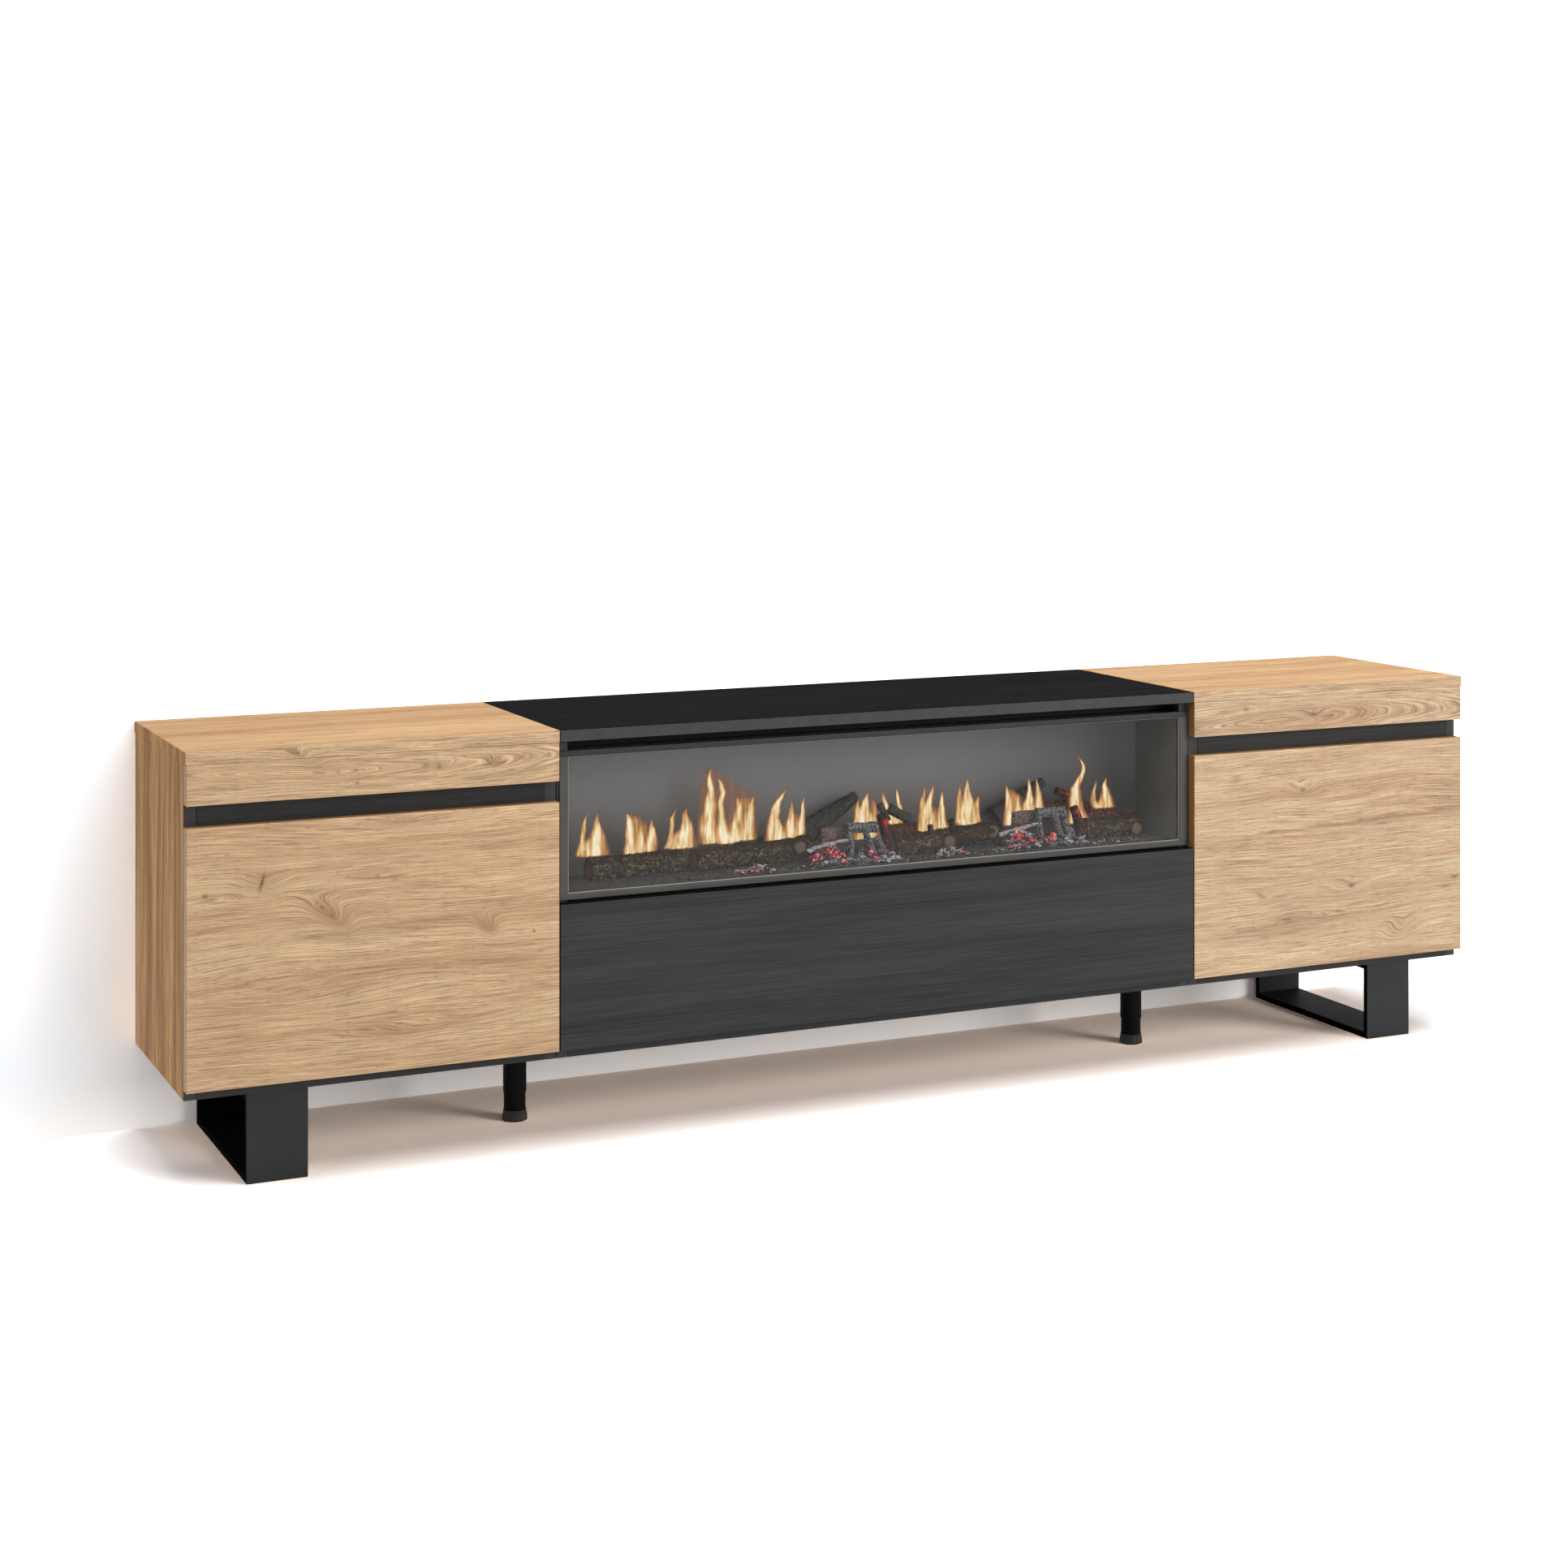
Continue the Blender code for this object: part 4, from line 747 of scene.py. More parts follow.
def flame_finish(name):
    """Flame: light thrown on the screen by the turning reflectors. It gives the eye a creamy middle with
    soft upward streaks, and amber and brown rims that fade out."""
    colours = bpy.context.scene.tv_stand_colours
    nodes = start(name)
    # Streaks about 6 mm wide and 40 mm high
    streaks = nodes.noise(nodes.own_place(210.0, 0.0, 30.0), distortion=0.4)
    # The flame's sheet is flat, so its own Y holds the heat
    stored = nodes.axis(nodes.own_place(1.0, 1.0, 1.0), "Y")
    heat = nodes.calc("MULTIPLY", stored, nodes.span(streaks, 0.34, 0.62, 0.52, 1.02), clamp=True)
    colour = nodes.ramp(
        heat,
        (0.0, "#5d4032"),
        (0.22, "#86604a"),
        (0.38, colours.flame_edge),
        (0.62, "#ddb57c"),
        (0.82, "#f1dcae"),
        (1.0, colours.flame_core),
    )
    alpha = nodes.tones(heat, WHITE, (0.02, 0.0), (0.20, 0.50), (0.46, 0.84), (0.7, 0.97))
    return nodes.surface(BLACK, 1.0, 0.0, glow=colour, strength=1.0, alpha=alpha)


def dress(node, finish, limit=0.6, **by_side):
    """Gives a CAD node its finish, and the faces that look to one side another."""
    piece = NODES[node]
    piece.data.materials.clear()
    piece.data.materials.append(finish)
    for side, other in by_side.items():
        piece.data.materials.append(other)
        slot = len(piece.data.materials) - 1
        for polygon in piece.data.polygons:
            if polygon.normal.dot(SIDES[side]) > limit:
                polygon.material_index = slot


def new_object(name, bm, materials):
    """Object made from a bmesh, which it uses up."""
    mesh = bpy.data.meshes.new(name)
    bm.to_mesh(mesh)
    bm.free()
    for material in materials:
        mesh.materials.append(material)
    piece = bpy.data.objects.new(name, mesh)
    bpy.context.collection.objects.link(piece)
    return piece


def finish_piece(bm, name, materials, stands_for=()):
    """Turns a bmesh into a named piece of the stand."""
    bmesh.ops.recalc_face_normals(bm, faces=bm.faces)
    piece = new_object(name, bm, materials)
    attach(piece, STAND)
    if stands_for:
        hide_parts(*stands_for)


def start_mesh():
    """New bmesh and its layer, which keeps each corner's place in the piece's own axes."""
    bm = bmesh.new()
    return bm, bm.verts.layers.float_vector.new("own_place")


def keep_places(bm, layer):
    """Stores the corners' places as they are."""
    for vert in bm.verts:
        vert[layer] = vert.co


def spread(rows):
    """Rows of a table, each as its name, how far it is moved to the right, and the rest."""
    for name, *rest in rows:
        if name.endswith("_"):
            for group in (1, 2):
                yield f"{name}{group}", GROUP_STEP * (group - 1), rest
        else:
            yield name, 0, rest


def place_ends(ends, shift):
    """Places of two ends in metres."""
    return [Vector(((x + shift) / 1000, y / 1000, z / 1000)) for x, y, z in ends]


def long_edges(bm, length):
    """Edges that run along a shape made round the Z axis."""
    return [edge for edge in bm.edges if abs(edge.verts[0].co.z - edge.verts[1].co.z) > length / 2]


def lay_between(bm, ends):
    """Moves a shape made round the Z axis to lie between two points."""
    turn = (ends[1] - ends[0]).to_track_quat("Z", "Y").to_matrix().to_4x4()
    bmesh.ops.transform(bm, matrix=Matrix.Translation((ends[0] + ends[1]) / 2) @ turn, verts=bm.verts)


def bevel_edges(bm, offset, segments):
    """Breaks all edges and keeps the materials."""
    bmesh.ops.bevel(bm, geom=bm.edges[:], offset=offset, segments=segments, profile=0.5, affect="EDGES", material=-1)


def stick_mesh(ends, radii, seed, sides, cuts, depth):
    """Uneven stick with sawn ends; the ends take the second material."""
    length = (ends[1] - ends[0]).length
    bm, layer = start_mesh()
    bmesh.ops.create_cone(bm, cap_ends=True, segments=sides, radius1=radii[0], radius2=radii[1], depth=length)
    bmesh.ops.subdivide_edges(bm, edges=long_edges(bm, length), cuts=cuts, use_grid_fill=True)
    caps = [face for face in bm.faces if len(face.verts) > 4]
    for share in (0.10, 0.25, 0.25):
        bmesh.ops.inset_individual(bm, faces=caps, thickness=min(radii) * share, depth=0.0)
    bmesh.ops.poke(bm, faces=caps)
    bm.normal_update()
    for face in bm.faces:
        sawn = abs(face.normal.z) > 0.9
        face.material_index = 1 if sawn else 0
        face.smooth = not sawn
    shift = Vector((seed * 3.1, seed * 1.7, seed * 0.9))
    for vert in bm.verts:
        place = vert.co.copy()
        vert[layer] = place
        radial = Vector((place.x, place.y, 0.0))
        reach = radial.length
        if reach < 1e-6:
            continue
        around = radial.normalized()
        lumps = noise.fractal(Vector((around.x * 1.5, around.y * 1.5, place.z * 26.0)) + shift, 0.7, 2.0, 4)
        ridge = abs(noise.noise(Vector((around.x * 5.0, around.y * 5.0, place.z * 45.0)) + shift)) - 0.25
        vert.co += around * ((1.2 * lumps + ridge) * depth * min(1.0, reach / radii[0]))
    lay_between(bm, ends)
    return bm


def block_mesh(ends, width, height, seed, depth=0.0016):
    """Split, charred block between two points."""
    length = (ends[1] - ends[0]).length
    bm, layer = start_mesh()
    bmesh.ops.create_cube(bm, size=1.0)
    bmesh.ops.scale(bm, vec=(width, height, length), verts=bm.verts)
    bmesh.ops.subdivide_edges(bm, edges=long_edges(bm, length), cuts=1, use_grid_fill=True)
    bmesh.ops.subdivide_edges(bm, edges=bm.edges[:], cuts=9, use_grid_fill=True)
    shift = Vector((seed * 2.3, seed * 0.7, seed * 1.9))
    noise.seed_set(NOISE_SEED)
    for vert in bm.verts:
        place = vert.co.copy()
        vert[layer] = place + shift * 0.01
        across = Vector((place.x / width * 2, place.y / height * 2, 0.0))
        rounding = 1.0 - 0.14 * (across.x * across.y) ** 2
        end_round = 1.0 - 0.16 * abs(place.z / length * 2) ** 6
        cell = noise.voronoi(Vector((place.x * 150.0, place.y * 150.0, place.z * 90.0)) + shift)[0]
        furrow = min(0.25, cell[1] - cell[0]) / 0.25 - 1.0
        vert.co.x *= rounding * end_round
        vert.co.y *= rounding * end_round
        vert.co += noise.noise_vector(place * 70.0 + shift) * depth + across * (furrow * depth * 0.6)
    for face in bm.faces:
        face.smooth = True
    lay_between(bm, ends)
    return bm


def place_part(bm, verts, center, turn, slot, smooth):
    """Turns and moves one part of a heap, and gives its faces their material."""
    for face in {face for vert in verts for face in vert.link_faces}:
        face.smooth = smooth
        face.material_index = slot
    bmesh.ops.transform(bm, matrix=Matrix.Translation(center) @ turn, verts=verts)


def add_coal(bm, center, radius, chance, stretch, slot):
    """Adds one broken, rounded coal."""
    verts = bmesh.ops.create_icosphere(bm, subdivisions=3, radius=radius)["verts"]
    shift = Vector((chance.uniform(0, 90), chance.uniform(0, 90), chance.uniform(0, 90)))
    turn = Matrix.Rotation(chance.uniform(0, math.tau), 4, "Z") @ Matrix.Rotation(chance.uniform(-0.6, 0.6), 4, "X")
    for vert in verts:
        around = vert.co.normalized()
        cell = noise.voronoi(around * 1.6 + shift)[0]
        lump = noise.noise(around * 1.3 + shift) * 0.35 + min(0.5, cell[1] - cell[0]) * 0.5 - 0.2
        vert.co = [c * s for c, s in zip(around * radius * (1.0 + lump), stretch)]
    place_part(bm, verts, center, turn, slot, smooth=True)


def add_shard(bm, center, size, chance, heading, lean, slot):
    """Adds one splintered flake, thinner at its far end."""
    verts = bmesh.ops.create_cube(bm, size=1.0)["verts"]
    for vert in verts:
        taper = 0.55 if vert.co.x > 0 else 1.0
        wobble = Vector([chance.uniform(-0.16, 0.16) for _ in range(3)])
        share = Vector((vert.co.x, vert.co.y * taper, vert.co.z * taper)) + wobble
        vert.co = [c * length for c, length in zip(share, size)]
    turn = Matrix.Rotation(heading, 4, "Z") @ Matrix.Rotation(-lean, 4, "Y")
    turn = turn @ Matrix.Rotation(chance.uniform(-0.7, 0.7), 4, "X")
    place_part(bm, verts, center, turn, slot, smooth=False)


class TVSTAND_OT_oak_boards(bpy.types.Operator):
    """Finishes the oak boards of both side cabinets"""

    bl_idname = "tv_stand.oak_boards"
    bl_label = "Oak boards"

    def execute(self, context):
        colours = context.scene.tv_stand_colours
        edge = edge_finish("oak_edge_band", colours.oak_edge)
        black_edge = edge_finish("black_edge_band", colours.laminate_edge)
        inside = oak_finish("oak_melamine_inside", ALONG_SIDE, tone=0.96, seed=5.0)
        top = oak_finish("oak_melamine_top", ALONG_TOP, tone=0.95, warmth=0.75, contrast=0.95, sheen=0.08, seed=4.0)
        outer = oak_finish("oak_melamine_side", ALONG_SIDE, tone=1.04, warmth=1.55, contrast=2.4, sheen=0.03, seed=6.0)
        fronts = {
            front: oak_finish(f"oak_melamine_{front}", ALONG_FRONT, MARKS[front], loop, tone, warmth, seed=seed)
            for front, loop, tone, warmth, seed in FRONTS
        }
        for side in ("left", "right"):
            dress(f"{side}_top", top, bottom=inside, left=outer, right=outer, back=edge, front=fronts[f"{side}_fascia"])
            dress(f"{side}_outer_side", inside, back=edge, **{side: outer}, front=black_edge)
            dress(f"{side}_inner_side", inside, back=edge, front=black_edge)
            dress(f"{side}_shelf", oak_finish(f"oak_melamine_{side}_shelf", ALONG_TOP, seed=7.0), front=edge)
            for front in ("door", "fascia"):
                dress(f"{side}_{front}", edge, back=inside, front=fronts[f"{side}_{front}"])
        return {"FINISHED"}


class TVSTAND_OT_black_boards(bpy.types.Operator):
    """Finishes the black boards of the middle cabinet and the grips"""

    bl_idname = "tv_stand.black_boards"
    bl_label = "Black boards"

    def execute(self, context):
        colours = context.scene.tv_stand_colours
        edge = edge_finish("black_edge_band_middle", colours.laminate_edge)
        # Painted shade: the bottom boards' front edges lie in shade under the doors and flap, so their edge band is
        # darkened to half
        shaded_floor_edge = edge_finish("black_edge_band_floor_painted_shade", shade(colours.laminate_edge, 0.5))
        front = laminate_finish("black_melamine_front", ALONG_FRONT, colours.laminate, lines=1.6)
        top = laminate_finish("black_melamine_top", ALONG_TOP, colours.laminate_top, 0.7, lines=1.8, sheen=0.01)
        inside = laminate_finish("black_melamine_inside", ALONG_SIDE, shade(colours.laminate, 0.7))
        flat = laminate_finish("black_melamine_flat", ALONG_TOP, shade(colours.laminate, 0.7))
        # Painted shade: the top's underside, the deck, the stretcher but its front, and the flap's top edge are
        # darkened to near black, as they lie in shade
        shaded = laminate_finish("black_melamine_recess_painted_shade", ALONG_TOP, shade(colours.laminate, 0.12), sheen=0.02)
        dress("center_top", edge, top=top, bottom=shaded)
        dress("center_deck", shaded)
        dress("center_stretcher", shaded, front=flat)
        dress("flap", edge, front=front, back=front, top=shaded)
        for side in ("left", "right"):
            dress(f"center_{side}_side", inside, front=edge)
            dress(f"{side}_rail", front)
        for cabinet in ("left", "center", "right"):
            dress(f"{cabinet}_bottom", flat, front=shaded_floor_edge)
        return {"FINISHED"}


class TVSTAND_OT_back_boards(bpy.types.Operator):
    """Finishes the thin boards that close the back"""

    bl_idname = "tv_stand.back_boards"
    bl_label = "Back boards"

    def execute(self, context):
        fibre = fibre_finish("hardboard_back", context.scene.tv_stand_colours.back_board)
        for cabinet in ("left", "center", "right"):
            dress(f"{cabinet}_back", fibre)
        return {"FINISHED"}


class TVSTAND_OT_fittings(bpy.types.Operator):
    """Finishes the hinges and the push latch"""

    bl_idname = "tv_stand.fittings"
    bl_label = "Hinges and latch"

    def execute(self, context):
        nickel = metal_finish("nickel_plated_steel", "#b9b6ae", 0.3)
        plastic = plastic_finish("abs_latch", "#2a2a2b")
        for node in NODES:
            if "_hinge_" in node:
                dress(node, nickel)
        dress("latch_body", plastic)
        dress("latch_plunger", plastic)
        return {"FINISHED"}


class TVSTAND_OT_legs(bpy.types.Operator):
    """Finishes the loop legs, the posts and their levelling feet"""

    bl_idname = "tv_stand.legs"
    bl_label = "Legs and feet"

    def execute(self, context):
        colour = context.scene.tv_stand_colours.coat
        coat = powder_finish("powder_coated_leg_steel", colour)
        # Painted shade: a loop leg's faces other than its front and right side are darkened to near black, and the
        # right leg's upward faces to six tenths
        inner = powder_finish("powder_coated_leg_painted_shade", shade(colour, 0.1), roughness=0.9, sheen=0.02)
        low = powder_finish("powder_coated_leg_low_bar_painted_shade", shade(colour, 0.6), sheen=0.1)
        plastic = plastic_finish("abs_levelling_foot", "#121212")
        for side, upper in (("left", inner), ("right", low)):
            dress(f"{side}_loop_leg", inner, front=coat, right=coat, top=upper)
            dress(f"{side}_post", powder_finish(f"powder_coated_{side}_post_steel", shade(colour, 0.3), sheen=0.05))
            dress(f"{side}_foot", plastic)
        # Painted shade: the left leg's back half lies in the shade of its front half, and takes the darkened coat
        for polygon in NODES["left_loop_leg"].data.polygons:
            if polygon.center.y > 0.0:
                polygon.material_index = 0
        return {"FINISHED"}


class TVSTAND_OT_fire_case(bpy.types.Operator):
    """Finishes the electric fire's casing, bezel, glass, screen and drive"""

    bl_idname = "tv_stand.fire_case"
    bl_label = "Fire casing"

    def execute(self, context):
        colours = context.scene.tv_stand_colours
        lip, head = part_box("insert_bezel")[1].yz
        # The bezel's coat, with painted shade along its head
        bezel = powder_finish("coated_bezel_sheet", colours.bezel, roughness=0.45, head=head - BEZEL_SHADE_BAND)
        # Painted light and shade: the bezel's slopes are lit and shaded copies of its coat, lightest on the side
        # slopes, darker on the sill and darkest on the head's slope, and its upward rim is painted near black
        slope, sill, soffit_shaded = (
            powder_finish(f"coated_bezel_{part}", code, roughness, lip=lip)
            for part, code, roughness in (("slope", "#5f5d59", 0.5), ("sill", "#4c4a47", 0.6), ("head", "#3c3b38", 0.6))
        )
        rim = powder_finish("coated_bezel_rim_painted_shade", "#0b0b0b", roughness=0.8, sheen=0.02)
        sides = dict.fromkeys(SIDES, bezel) | {"front_up": sill, "front_down": soffit_shaded, "top": rim}
        dress("insert_bezel", slope, limit=0.9, **sides)
        dress("insert_casing", powder_finish("powder_coated_casing_steel", "#73706c", roughness=0.6))
        dress("insert_glass", glass_finish("tinted_front_glass"))
        dress("flame_screen", screen_finish("satin_acrylic_screen_painted_light", colours.screen))
        dress("mains_inlet", plastic_finish("abs_inlet", "#1e1e1f"))
        dress("rotor_motor", plastic_finish("abs_motor", "#2b2b2c"))
        dress("flame_rotor", metal_finish("polished_reflector_aluminium", "#cfd0d2", 0.22))
        dress("lamp_strip", lamp_finish("polycarbonate_lamp_strip"))
        return {"FINISHED"}


class TVSTAND_OT_logs(bpy.types.Operator):
    """Makes the four loose logs of the fuel bed"""

    bl_idname = "tv_stand.logs"
    bl_label = "Logs"

    def execute(self, context):
        bark = bark_finish("mossy_bark_resin", context.scene.tv_stand_colours.bark)
        cut = cut_finish("sawn_log_end", "#94594a", "#4a2f26", 0.0140)
        depth = context.scene.tv_stand_sizes.bark_depth
        for seed, (node, shift, (*ends, first, last)) in enumerate(spread(LOGS), start=1):
            bm = stick_mesh(place_ends(ends, shift), (first / 1000, last / 1000), seed, sides=56, cuts=60, depth=depth)
            finish_piece(bm, f"fuel_{node}", [bark, cut], [node])
        return {"FINISHED"}


class TVSTAND_OT_charred_wood(bpy.types.Operator):
    """Makes the charred sticks and blocks that lie among the logs"""

    bl_idname = "tv_stand.charred_wood"
    bl_label = "Charred wood"

    def execute(self, context):
        char = context.scene.tv_stand_colours.char
        skins = {
            "soot": char_finish("sooted_branch_resin", "#383736", "#4c4a49", 0.5),
            "char": char_finish("charred_stick_resin", char, "#8a8a8d", 0.65),
            "red": char_finish("scorched_red_resin", "#3a251f", "#7a5648", 0.5, glow=0.40, heat=0.63),
            "hot": char_finish("glowing_charred_resin", "#2c1b18", "#5b4a47", 0.35, glow=0.8, heat=0.62),
            "bark": bark_finish("scorched_bark_resin", "#3d2a20", moss="#63482f"),
            "split": char_finish("split_wood_resin", "#574840", "#84746a", 0.68),
        }
        cut = cut_finish("scorched_sawn_end", "#7c6655", "#2a211b", 0.0095)
        for seed, (stick, shift, (skin, *ends, first, last)) in enumerate(spread(STICKS), start=11):
            bm = stick_mesh(place_ends(ends, shift), (first / 1000, last / 1000), seed, sides=36, cuts=34, depth=0.0016)
            finish_piece(bm, f"stick_{stick}", [skins[skin], cut if skin == "bark" else skins[skin]])
        for seed, (block, shift, (skin, *ends, width, height)) in enumerate(spread(BLOCKS), start=51):
            bm = block_mesh(place_ends(ends, shift), width / 1000, height / 1000, seed)
            finish_piece(bm, f"block_{block}", [skins[skin]])
        return {"FINISHED"}


class TVSTAND_OT_embers(bpy.types.Operator):
    """Makes the ember bed with its coals, ash and crumbs"""

    bl_idname = "tv_stand.embers"
    bl_label = "Ember bed"

    def bed_floor(self):
        """Makes the moulded floor of the bed, closed underneath."""
        low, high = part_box("ember_bed")
        skin = char_finish("bed_char_resin", "#333231", "#555351", 0.4)
        bm, layer = start_mesh()
        bmesh.ops.create_grid(bm, x_segments=300, y_segments=36, size=0.5)
        for vert in bm.verts:
            x = low.x + (high.x - low.x) * (vert.co.x + 0.5)
            y = low.y + (high.y - low.y) * (vert.co.y + 0.5)
            across = abs(vert.co.y) * 2
            rough = 0.5 + 0.5 * noise.fractal(Vector((x * 60.0, y * 60.0, 3.0)), 0.7, 2.0, 3)
            lump = max(0.0, noise.noise(Vector((x * 190.0, y * 190.0, 8.0)))) * 0.0035
            z = low.z + 0.0070 + (0.0030 * rough + lump) * (1.0 - across**6)
            vert.co = Vector((x, y, z))
        rim = bmesh.ops.extrude_edge_only(bm, edges=[edge for edge in bm.edges if edge.is_boundary])
        for part in rim["geom"]:
            if isinstance(part, bmesh.types.BMVert):
                part.co.z = low.z
        bmesh.ops.contextual_create(bm, geom=[edge for edge in bm.edges if edge.is_boundary])
        keep_places(bm, layer)
        finish_piece(bm, "ember_bed_floor", [skin], ["ember_bed"])

    def heap(self, chance, skins, name, x_from, x_to, y_from, y_to, crest, size, coals, flakes, weights):
        """Makes one heap of coals and flakes."""
        coal_size = bpy.context.scene.tv_stand_sizes.coal_size
        bm, layer = start_mesh()
        for number in range(coals + flakes):
            share = chance.betavariate(1.5, 1.5)
            x = x_from + (x_to - x_from) * share
            y = chance.uniform(y_from, y_to)
            falloff = 1.0 - (2 * share - 1) ** 2
            height = chance.uniform(0.15, 1.0)
            z = HEAP_FOOT + (crest - HEAP_FOOT) * falloff * height
            slot = chance.choices(range(len(skins)), weights=weights)[0]
            if slot == EMBER_SLOT and height * falloff < 0.26:
                # Coals low at a heap's foot take the dark coal and no painted glow
                slot = DARK_SLOT
            radius = coal_size * size * chance.uniform(0.5, 1.1)
            if number < flakes:
                flake = (radius * chance.uniform(1.6, 3.4), radius * chance.uniform(0.7, 1.1), radius * 0.55)
                add_shard(bm, (x, y, z), flake, chance, chance.uniform(-0.9, 0.9), chance.uniform(-0.5, 0.8), slot)
                continue
            if number == flakes:
                bevel_edges(bm, 0.0003, 1)
            stretch = (chance.uniform(0.8, 1.4), chance.uniform(0.7, 1.1), chance.uniform(0.5, 0.85))
            add_coal(bm, (x, y, z), radius, chance, stretch, slot)
        keep_places(bm, layer)
        finish_piece(bm, name, skins)

    def execute(self, context):
        chance = random.Random(7)
        skins = [
            char_finish("grey_coal_resin", "#2b2a2b", "#8d8b90", 0.55),
            char_finish("white_ash_resin", "#6b6a6f", "#c4c2c8", 0.75),
            char_finish("ember_coal_resin", "#4a2426", "#b09a9e", 0.45, glow=1.35, heat=0.50),
            char_finish("dark_coal_resin", "#1f1e1d", "#4f4c4a", 0.35),
        ]
        self.bed_floor()
        for name, shift, (x_from, x_to, y_from, y_to, crest, *rest) in spread(HEAPS):
            places = (place / 1000 for place in (x_from + shift, x_to + shift, y_from, y_to, crest))
            self.heap(chance, skins, name, *places, *rest)
        # Ash plates lie on both ember heaps and rise to the right
        for group in (1, 2):
            bm, layer = start_mesh()
            for step in range(7):
                share = step / 6
                x = -0.0950 + 0.0520 * share + GROUP_STEP / 1000 * (group - 1)
                place = (x, -0.0950, 0.3585 + 0.0095 * share**0.7)
                size = (0.0170, 0.0070, 0.0032)
                add_shard(bm, place, size, chance, chance.uniform(-0.2, 0.2), 0.28 - 0.2 * share, ASH_SLOT)
            bevel_edges(bm, 0.0005, 2)
            keep_places(bm, layer)
            finish_piece(bm, f"ash_plates_{group}", skins)
        return {"FINISHED"}


class TVSTAND_OT_flames(bpy.types.Operator):
    """Makes the flames that stand on the logs"""

    bl_idname = "tv_stand.flames"
    bl_label = "Flames"

    def heat(self, tongues, x, z, seed):
        """Heat of a flame at a place, from 0 outside it to 1 in its core."""
        x += 1.3 * noise.noise(Vector((x * 0.06, z * 0.09, seed)))
        cold = 1.0
        for power, points in tongues:
            foot = points[0][1] + 1.5 * noise.noise(Vector((x * 0.25, 0.0, seed)))
            tip = points[-1][1]
            if not foot - 1.0 < z < tip:
                continue
            for (x_low, z_low, half_low), (x_high, z_high, half_high) in zip(points, points[1:]):
                if z <= z_high:
                    break
            share = min(1.0, max(0.0, (z - z_low) / (z_high - z_low)))
            eased = share * share * (3 - 2 * share) * 0.5 + share * 0.5
            middle = x_low + (x_high - x_low) * eased
            half = half_low + (half_high - half_low) * share
            inside = min(1.0, max(0.0, (1.26 - abs(x - middle) / half) / (1.08 if power > 0.3 else 0.3)))
            rise = min(1.0, max(0.0, (z - foot + 1.0) / 2.5))
            cool = min(1.0, 0.45 + (tip - z) / 22.0)
            cold *= 1.0 - power * inside * inside * (3 - 2 * inside) * rise * cool
        return 1.0 - cold

    def execute(self, context):
        sizes = context.scene.tv_stand_sizes
        skin = flame_finish("reflected_flame")
        for number, flame in enumerate(FLAMES, start=1):
            tongues = [(power, [line[i : i + 3] for i in range(0, len(line), 3)]) for power, *line in flame]
            points = [point for _, line in tongues for point in line]
            x_low = min(x - half for x, _, half in points) - 3.0
            x_high = max(x + half for x, _, half in points) + 3.0
            z_low = min(z for _, z, _ in points) - 2.0
            z_high = max(z for _, z, _ in points) + 1.0
            columns = int((x_high - x_low) / 1000 / sizes.flame_step)
            rows = int((z_high - z_low) / 1000 / sizes.flame_step)
            bm, layer = start_mesh()
            bmesh.ops.create_grid(bm, x_segments=columns, y_segments=rows, size=0.5)
            depth = FLAME_PLANE + FLAME_STAGGER * (number % 3)
            for vert in bm.verts:
                x = x_low + (x_high - x_low) * (vert.co.x + 0.5)
                z = z_low + (z_high - z_low) * (vert.co.y + 0.5)
                vert.co = Vector((x, depth * 1000, z)) / 1000
                vert[layer] = Vector((vert.co.x, self.heat(tongues, x, z, number), vert.co.z))
            cold = [face for face in bm.faces if max(vert[layer].y for vert in face.verts) < 0.01]
            bmesh.ops.delete(bm, geom=cold, context="FACES")
            bmesh.ops.solidify(bm, geom=bm.faces[:], thickness=sizes.flame_depth)
            for face in bm.faces:
                face.smooth = True
            finish_piece(bm, f"flame_{number:02d}", [skin])
        return {"FINISHED"}


def stage_finish(name, shadow=None, fade=None, one_sided=False):
    """Matt studio paper or cloth. It gives the eye plain white that keeps the stand's soft shadow, deepened and warmed
    by painted shadow.
    """
    nodes = start(name)
    surface = nodes.add("BsdfDiffuse", {"Color": (0.45, 0.45, 0.45)})
    if shadow:
        # Painted shadow and light: the paper is painted warm and dim where the stand encloses it, and painted
        #         lighter towards its left end. A ramp holds no value over one, so it is drawn at a fifth and raised
        #         again: 2.5 times here, and twice as two shaders.
        near = nodes.add("AmbientOcclusion", {"Distance": 0.25}, "AO", samples=6)
        left, right, at_left, at_right = fade
        fill = nodes.span(nodes.axis(nodes.place(), "X"), left, right, 2.5 * at_left, 2.5 * at_right)
        tint = nodes.ramp(near, *((place, shade(colour, 0.2)) for place, colour in shadow))
        paper = nodes.add("BsdfDiffuse", {"Color": nodes.dimmed(tint, fill)})
        seen = nodes.add("AddShader", {0: paper, 1: paper})
        camera, glossy, through = (
            nodes.add("LightPath", out=f"Is {ray} Ray") for ray in ("Camera", "Glossy", "Transmission")
        )
        direct = nodes.calc("MAXIMUM", nodes.calc("MAXIMUM", camera, glossy), through)
        surface = nodes.add("MixShader", {0: direct, 1: surface, 2: seen})
    if one_sided:
        behind = nodes.add("NewGeometry", out="Backfacing")
        surface = nodes.add("MixShader", {0: behind, 1: surface, 2: nodes.add("BsdfTransparent")})
    return nodes.close(surface)


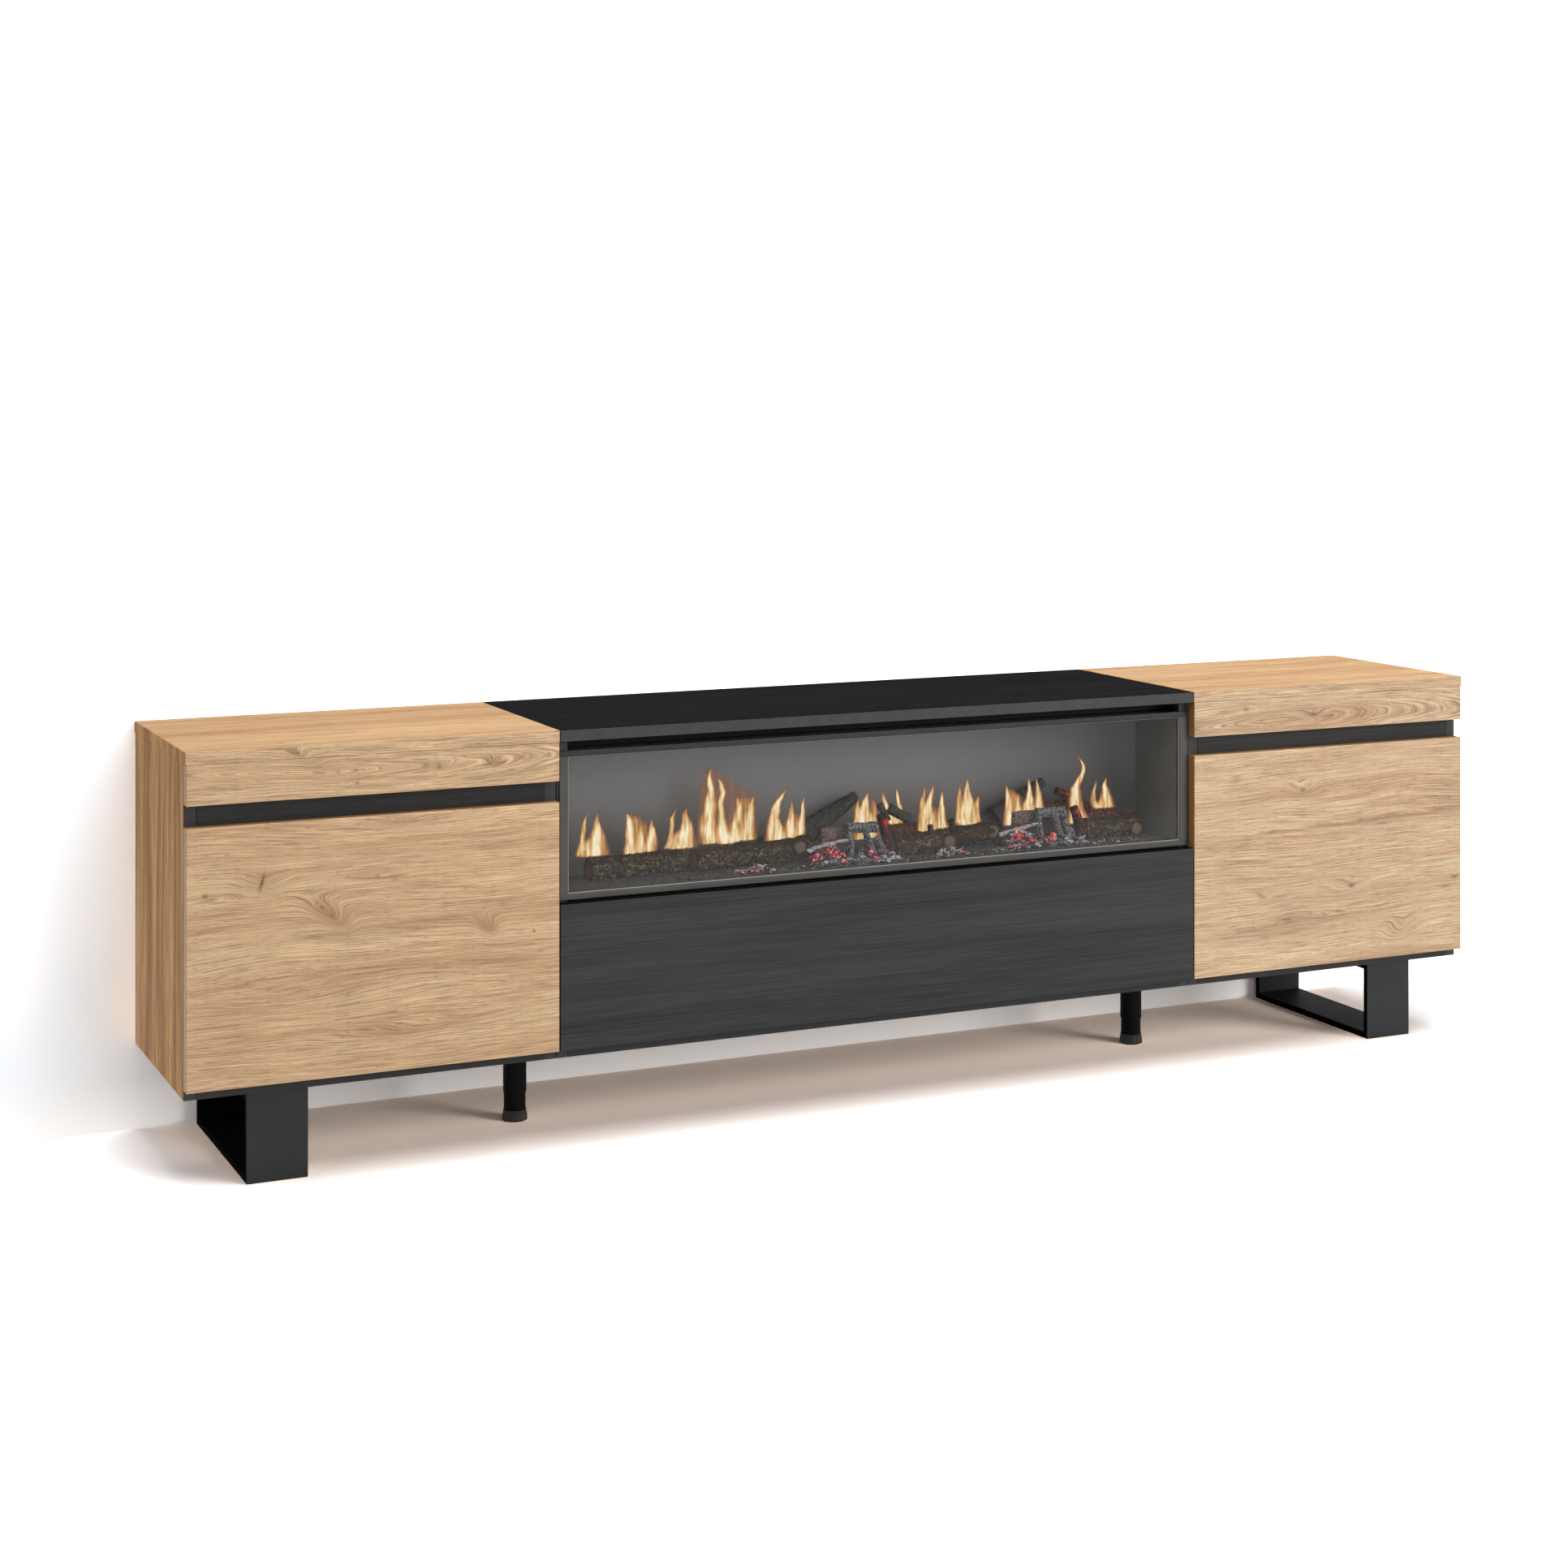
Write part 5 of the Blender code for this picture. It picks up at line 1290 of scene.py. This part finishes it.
def add_sheet(name, material, width, height, depth=None, hidden=()):
    """Adds one sheet of the studio, flat on the floor or upright at a depth, and hides it from some rays."""
    bm = bmesh.new()
    bmesh.ops.create_grid(bm, x_segments=1, y_segments=1, size=0.5)
    bmesh.ops.scale(bm, vec=(width, height, 1.0), verts=bm.verts)
    if depth is not None:
        upright = Matrix.Translation((0.0, depth, height / 2)) @ Matrix.Rotation(math.pi / 2, 4, "X")
        bmesh.ops.transform(bm, matrix=upright, verts=bm.verts)
    sheet = new_object(name, bm, [material])
    for ray in hidden:
        setattr(sheet, f"visible_{ray}", False)
    return sheet


def add_softbox(name, location, target, size, energy):
    """Adds one softbox that faces a point."""
    data = bpy.data.lights.new(name, "AREA")
    data.shape = "RECTANGLE"
    data.size, data.size_y = size
    data.energy = energy
    lamp = bpy.data.objects.new(name, data)
    bpy.context.collection.objects.link(lamp)
    lamp.location = location
    lamp.rotation_euler = (Vector(target) - Vector(location)).to_track_quat("-Z", "Y").to_euler()
    lamp.visible_camera = False


class TVSTAND_OT_studio(bpy.types.Operator):
    """Sets up the floor, the wall, the lights and the camera"""

    bl_idname = "tv_stand.studio"
    bl_label = "Studio"

    def execute(self, context):
        scene = context.scene
        settings = scene.tv_stand_studio
        low, high = CAD_BOX
        side = 2 * settings.floor_reach
        back = high.y + settings.wall_gap
        floor = add_sheet("studio_floor", stage_finish("floor_paper", FLOOR_SHADOW, FLOOR_FADE), side, side)
        wall_paper = stage_finish("wall_paper", WALL_SHADOW, WALL_FADE, one_sided=True)
        hidden = ("diffuse", "glossy", "transmission", "shadow")
        wall = add_sheet("studio_wall", wall_paper, side, side, back, hidden)
        # No light comes under the stand from behind
        hidden = ("camera", "glossy", "transmission")
        flag = add_sheet("studio_flag", stage_finish("flag_cloth"), high.x - low.x, FLAG_HEIGHT, back + 0.002, hidden)
        nodes = Nodes(bpy.data.worlds.new("studio_sky"))
        plain, white = (nodes.add("Background", {"Color": WHITE, "Strength": strength}) for strength in (0.52, 1.0))
        seen = nodes.add("LightPath", out="Is Camera Ray")
        scene.world = nodes.close(nodes.add("MixShader", {0: seen, 1: plain, 2: white}), "OutputWorld")
        add_softbox("softbox_overhead", (0.35, -1.0, 3.2), (0.1, 0.0, 0.3), (3.2, 2.4), 82.0)
        add_softbox("softbox_right", (4.4, -5.4, 2.4), (0.2, 0.0, 0.3), (3.0, 3.0), 218.0)
        camera_data = bpy.data.cameras.new("studio_camera")
        camera = bpy.data.objects.new("studio_camera", camera_data)
        context.collection.objects.link(camera)
        camera_data.sensor_width = 36.0
        camera_data.lens = settings.lens
        camera_data.shift_y = settings.shift
        camera_data.clip_start = 0.05
        camera_data.clip_end = 60.0
        camera.location = CAMERA_PLACE
        camera.rotation_euler = (math.radians(90.0), 0.0, math.radians(CAMERA_TURN))
        scene.camera = camera
        scene.view_settings.view_transform = "Standard"
        return {"FINISHED"}


OPERATORS = (
    TVSTAND_OT_oak_boards,
    TVSTAND_OT_black_boards,
    TVSTAND_OT_back_boards,
    TVSTAND_OT_fittings,
    TVSTAND_OT_legs,
    TVSTAND_OT_fire_case,
    TVSTAND_OT_logs,
    TVSTAND_OT_charred_wood,
    TVSTAND_OT_embers,
    TVSTAND_OT_flames,
    TVSTAND_OT_studio,
)


class TVSTAND_PT_panel(bpy.types.Panel):
    """Lists the stand's settings and makers"""

    bl_idname = "TVSTAND_PT_panel"
    bl_label = "TV stand"
    bl_space_type = "VIEW_3D"
    bl_region_type = "UI"
    bl_category = "TV stand"

    def draw(self, context):
        layout = self.layout
        for group in (context.scene.tv_stand_colours, context.scene.tv_stand_sizes, context.scene.tv_stand_studio):
            box = layout.box()
            for name in group.__annotations__:
                box.prop(group, name)
        for operator in OPERATORS:
            layout.operator(operator.bl_idname)


CLASSES = (StandColours, StandSizes, StudioSettings, *OPERATORS, TVSTAND_PT_panel)


def register():
    for cls in CLASSES:
        bpy.utils.register_class(cls)
    bpy.types.Scene.tv_stand_colours = PointerProperty(type=StandColours)
    bpy.types.Scene.tv_stand_sizes = PointerProperty(type=StandSizes)
    bpy.types.Scene.tv_stand_studio = PointerProperty(type=StudioSettings)


def unregister():
    del bpy.types.Scene.tv_stand_studio
    del bpy.types.Scene.tv_stand_sizes
    del bpy.types.Scene.tv_stand_colours
    for cls in reversed(CLASSES):
        bpy.utils.unregister_class(cls)


def main():
    """Finishes the stand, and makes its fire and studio."""
    register()
    bpy.ops.tv_stand.oak_boards()
    bpy.ops.tv_stand.black_boards()
    bpy.ops.tv_stand.back_boards()
    bpy.ops.tv_stand.fittings()
    bpy.ops.tv_stand.legs()
    bpy.ops.tv_stand.fire_case()
    bpy.ops.tv_stand.logs()
    bpy.ops.tv_stand.charred_wood()
    bpy.ops.tv_stand.embers()
    bpy.ops.tv_stand.flames()
    bpy.ops.tv_stand.studio()


if __name__ == "__main__":
    main()
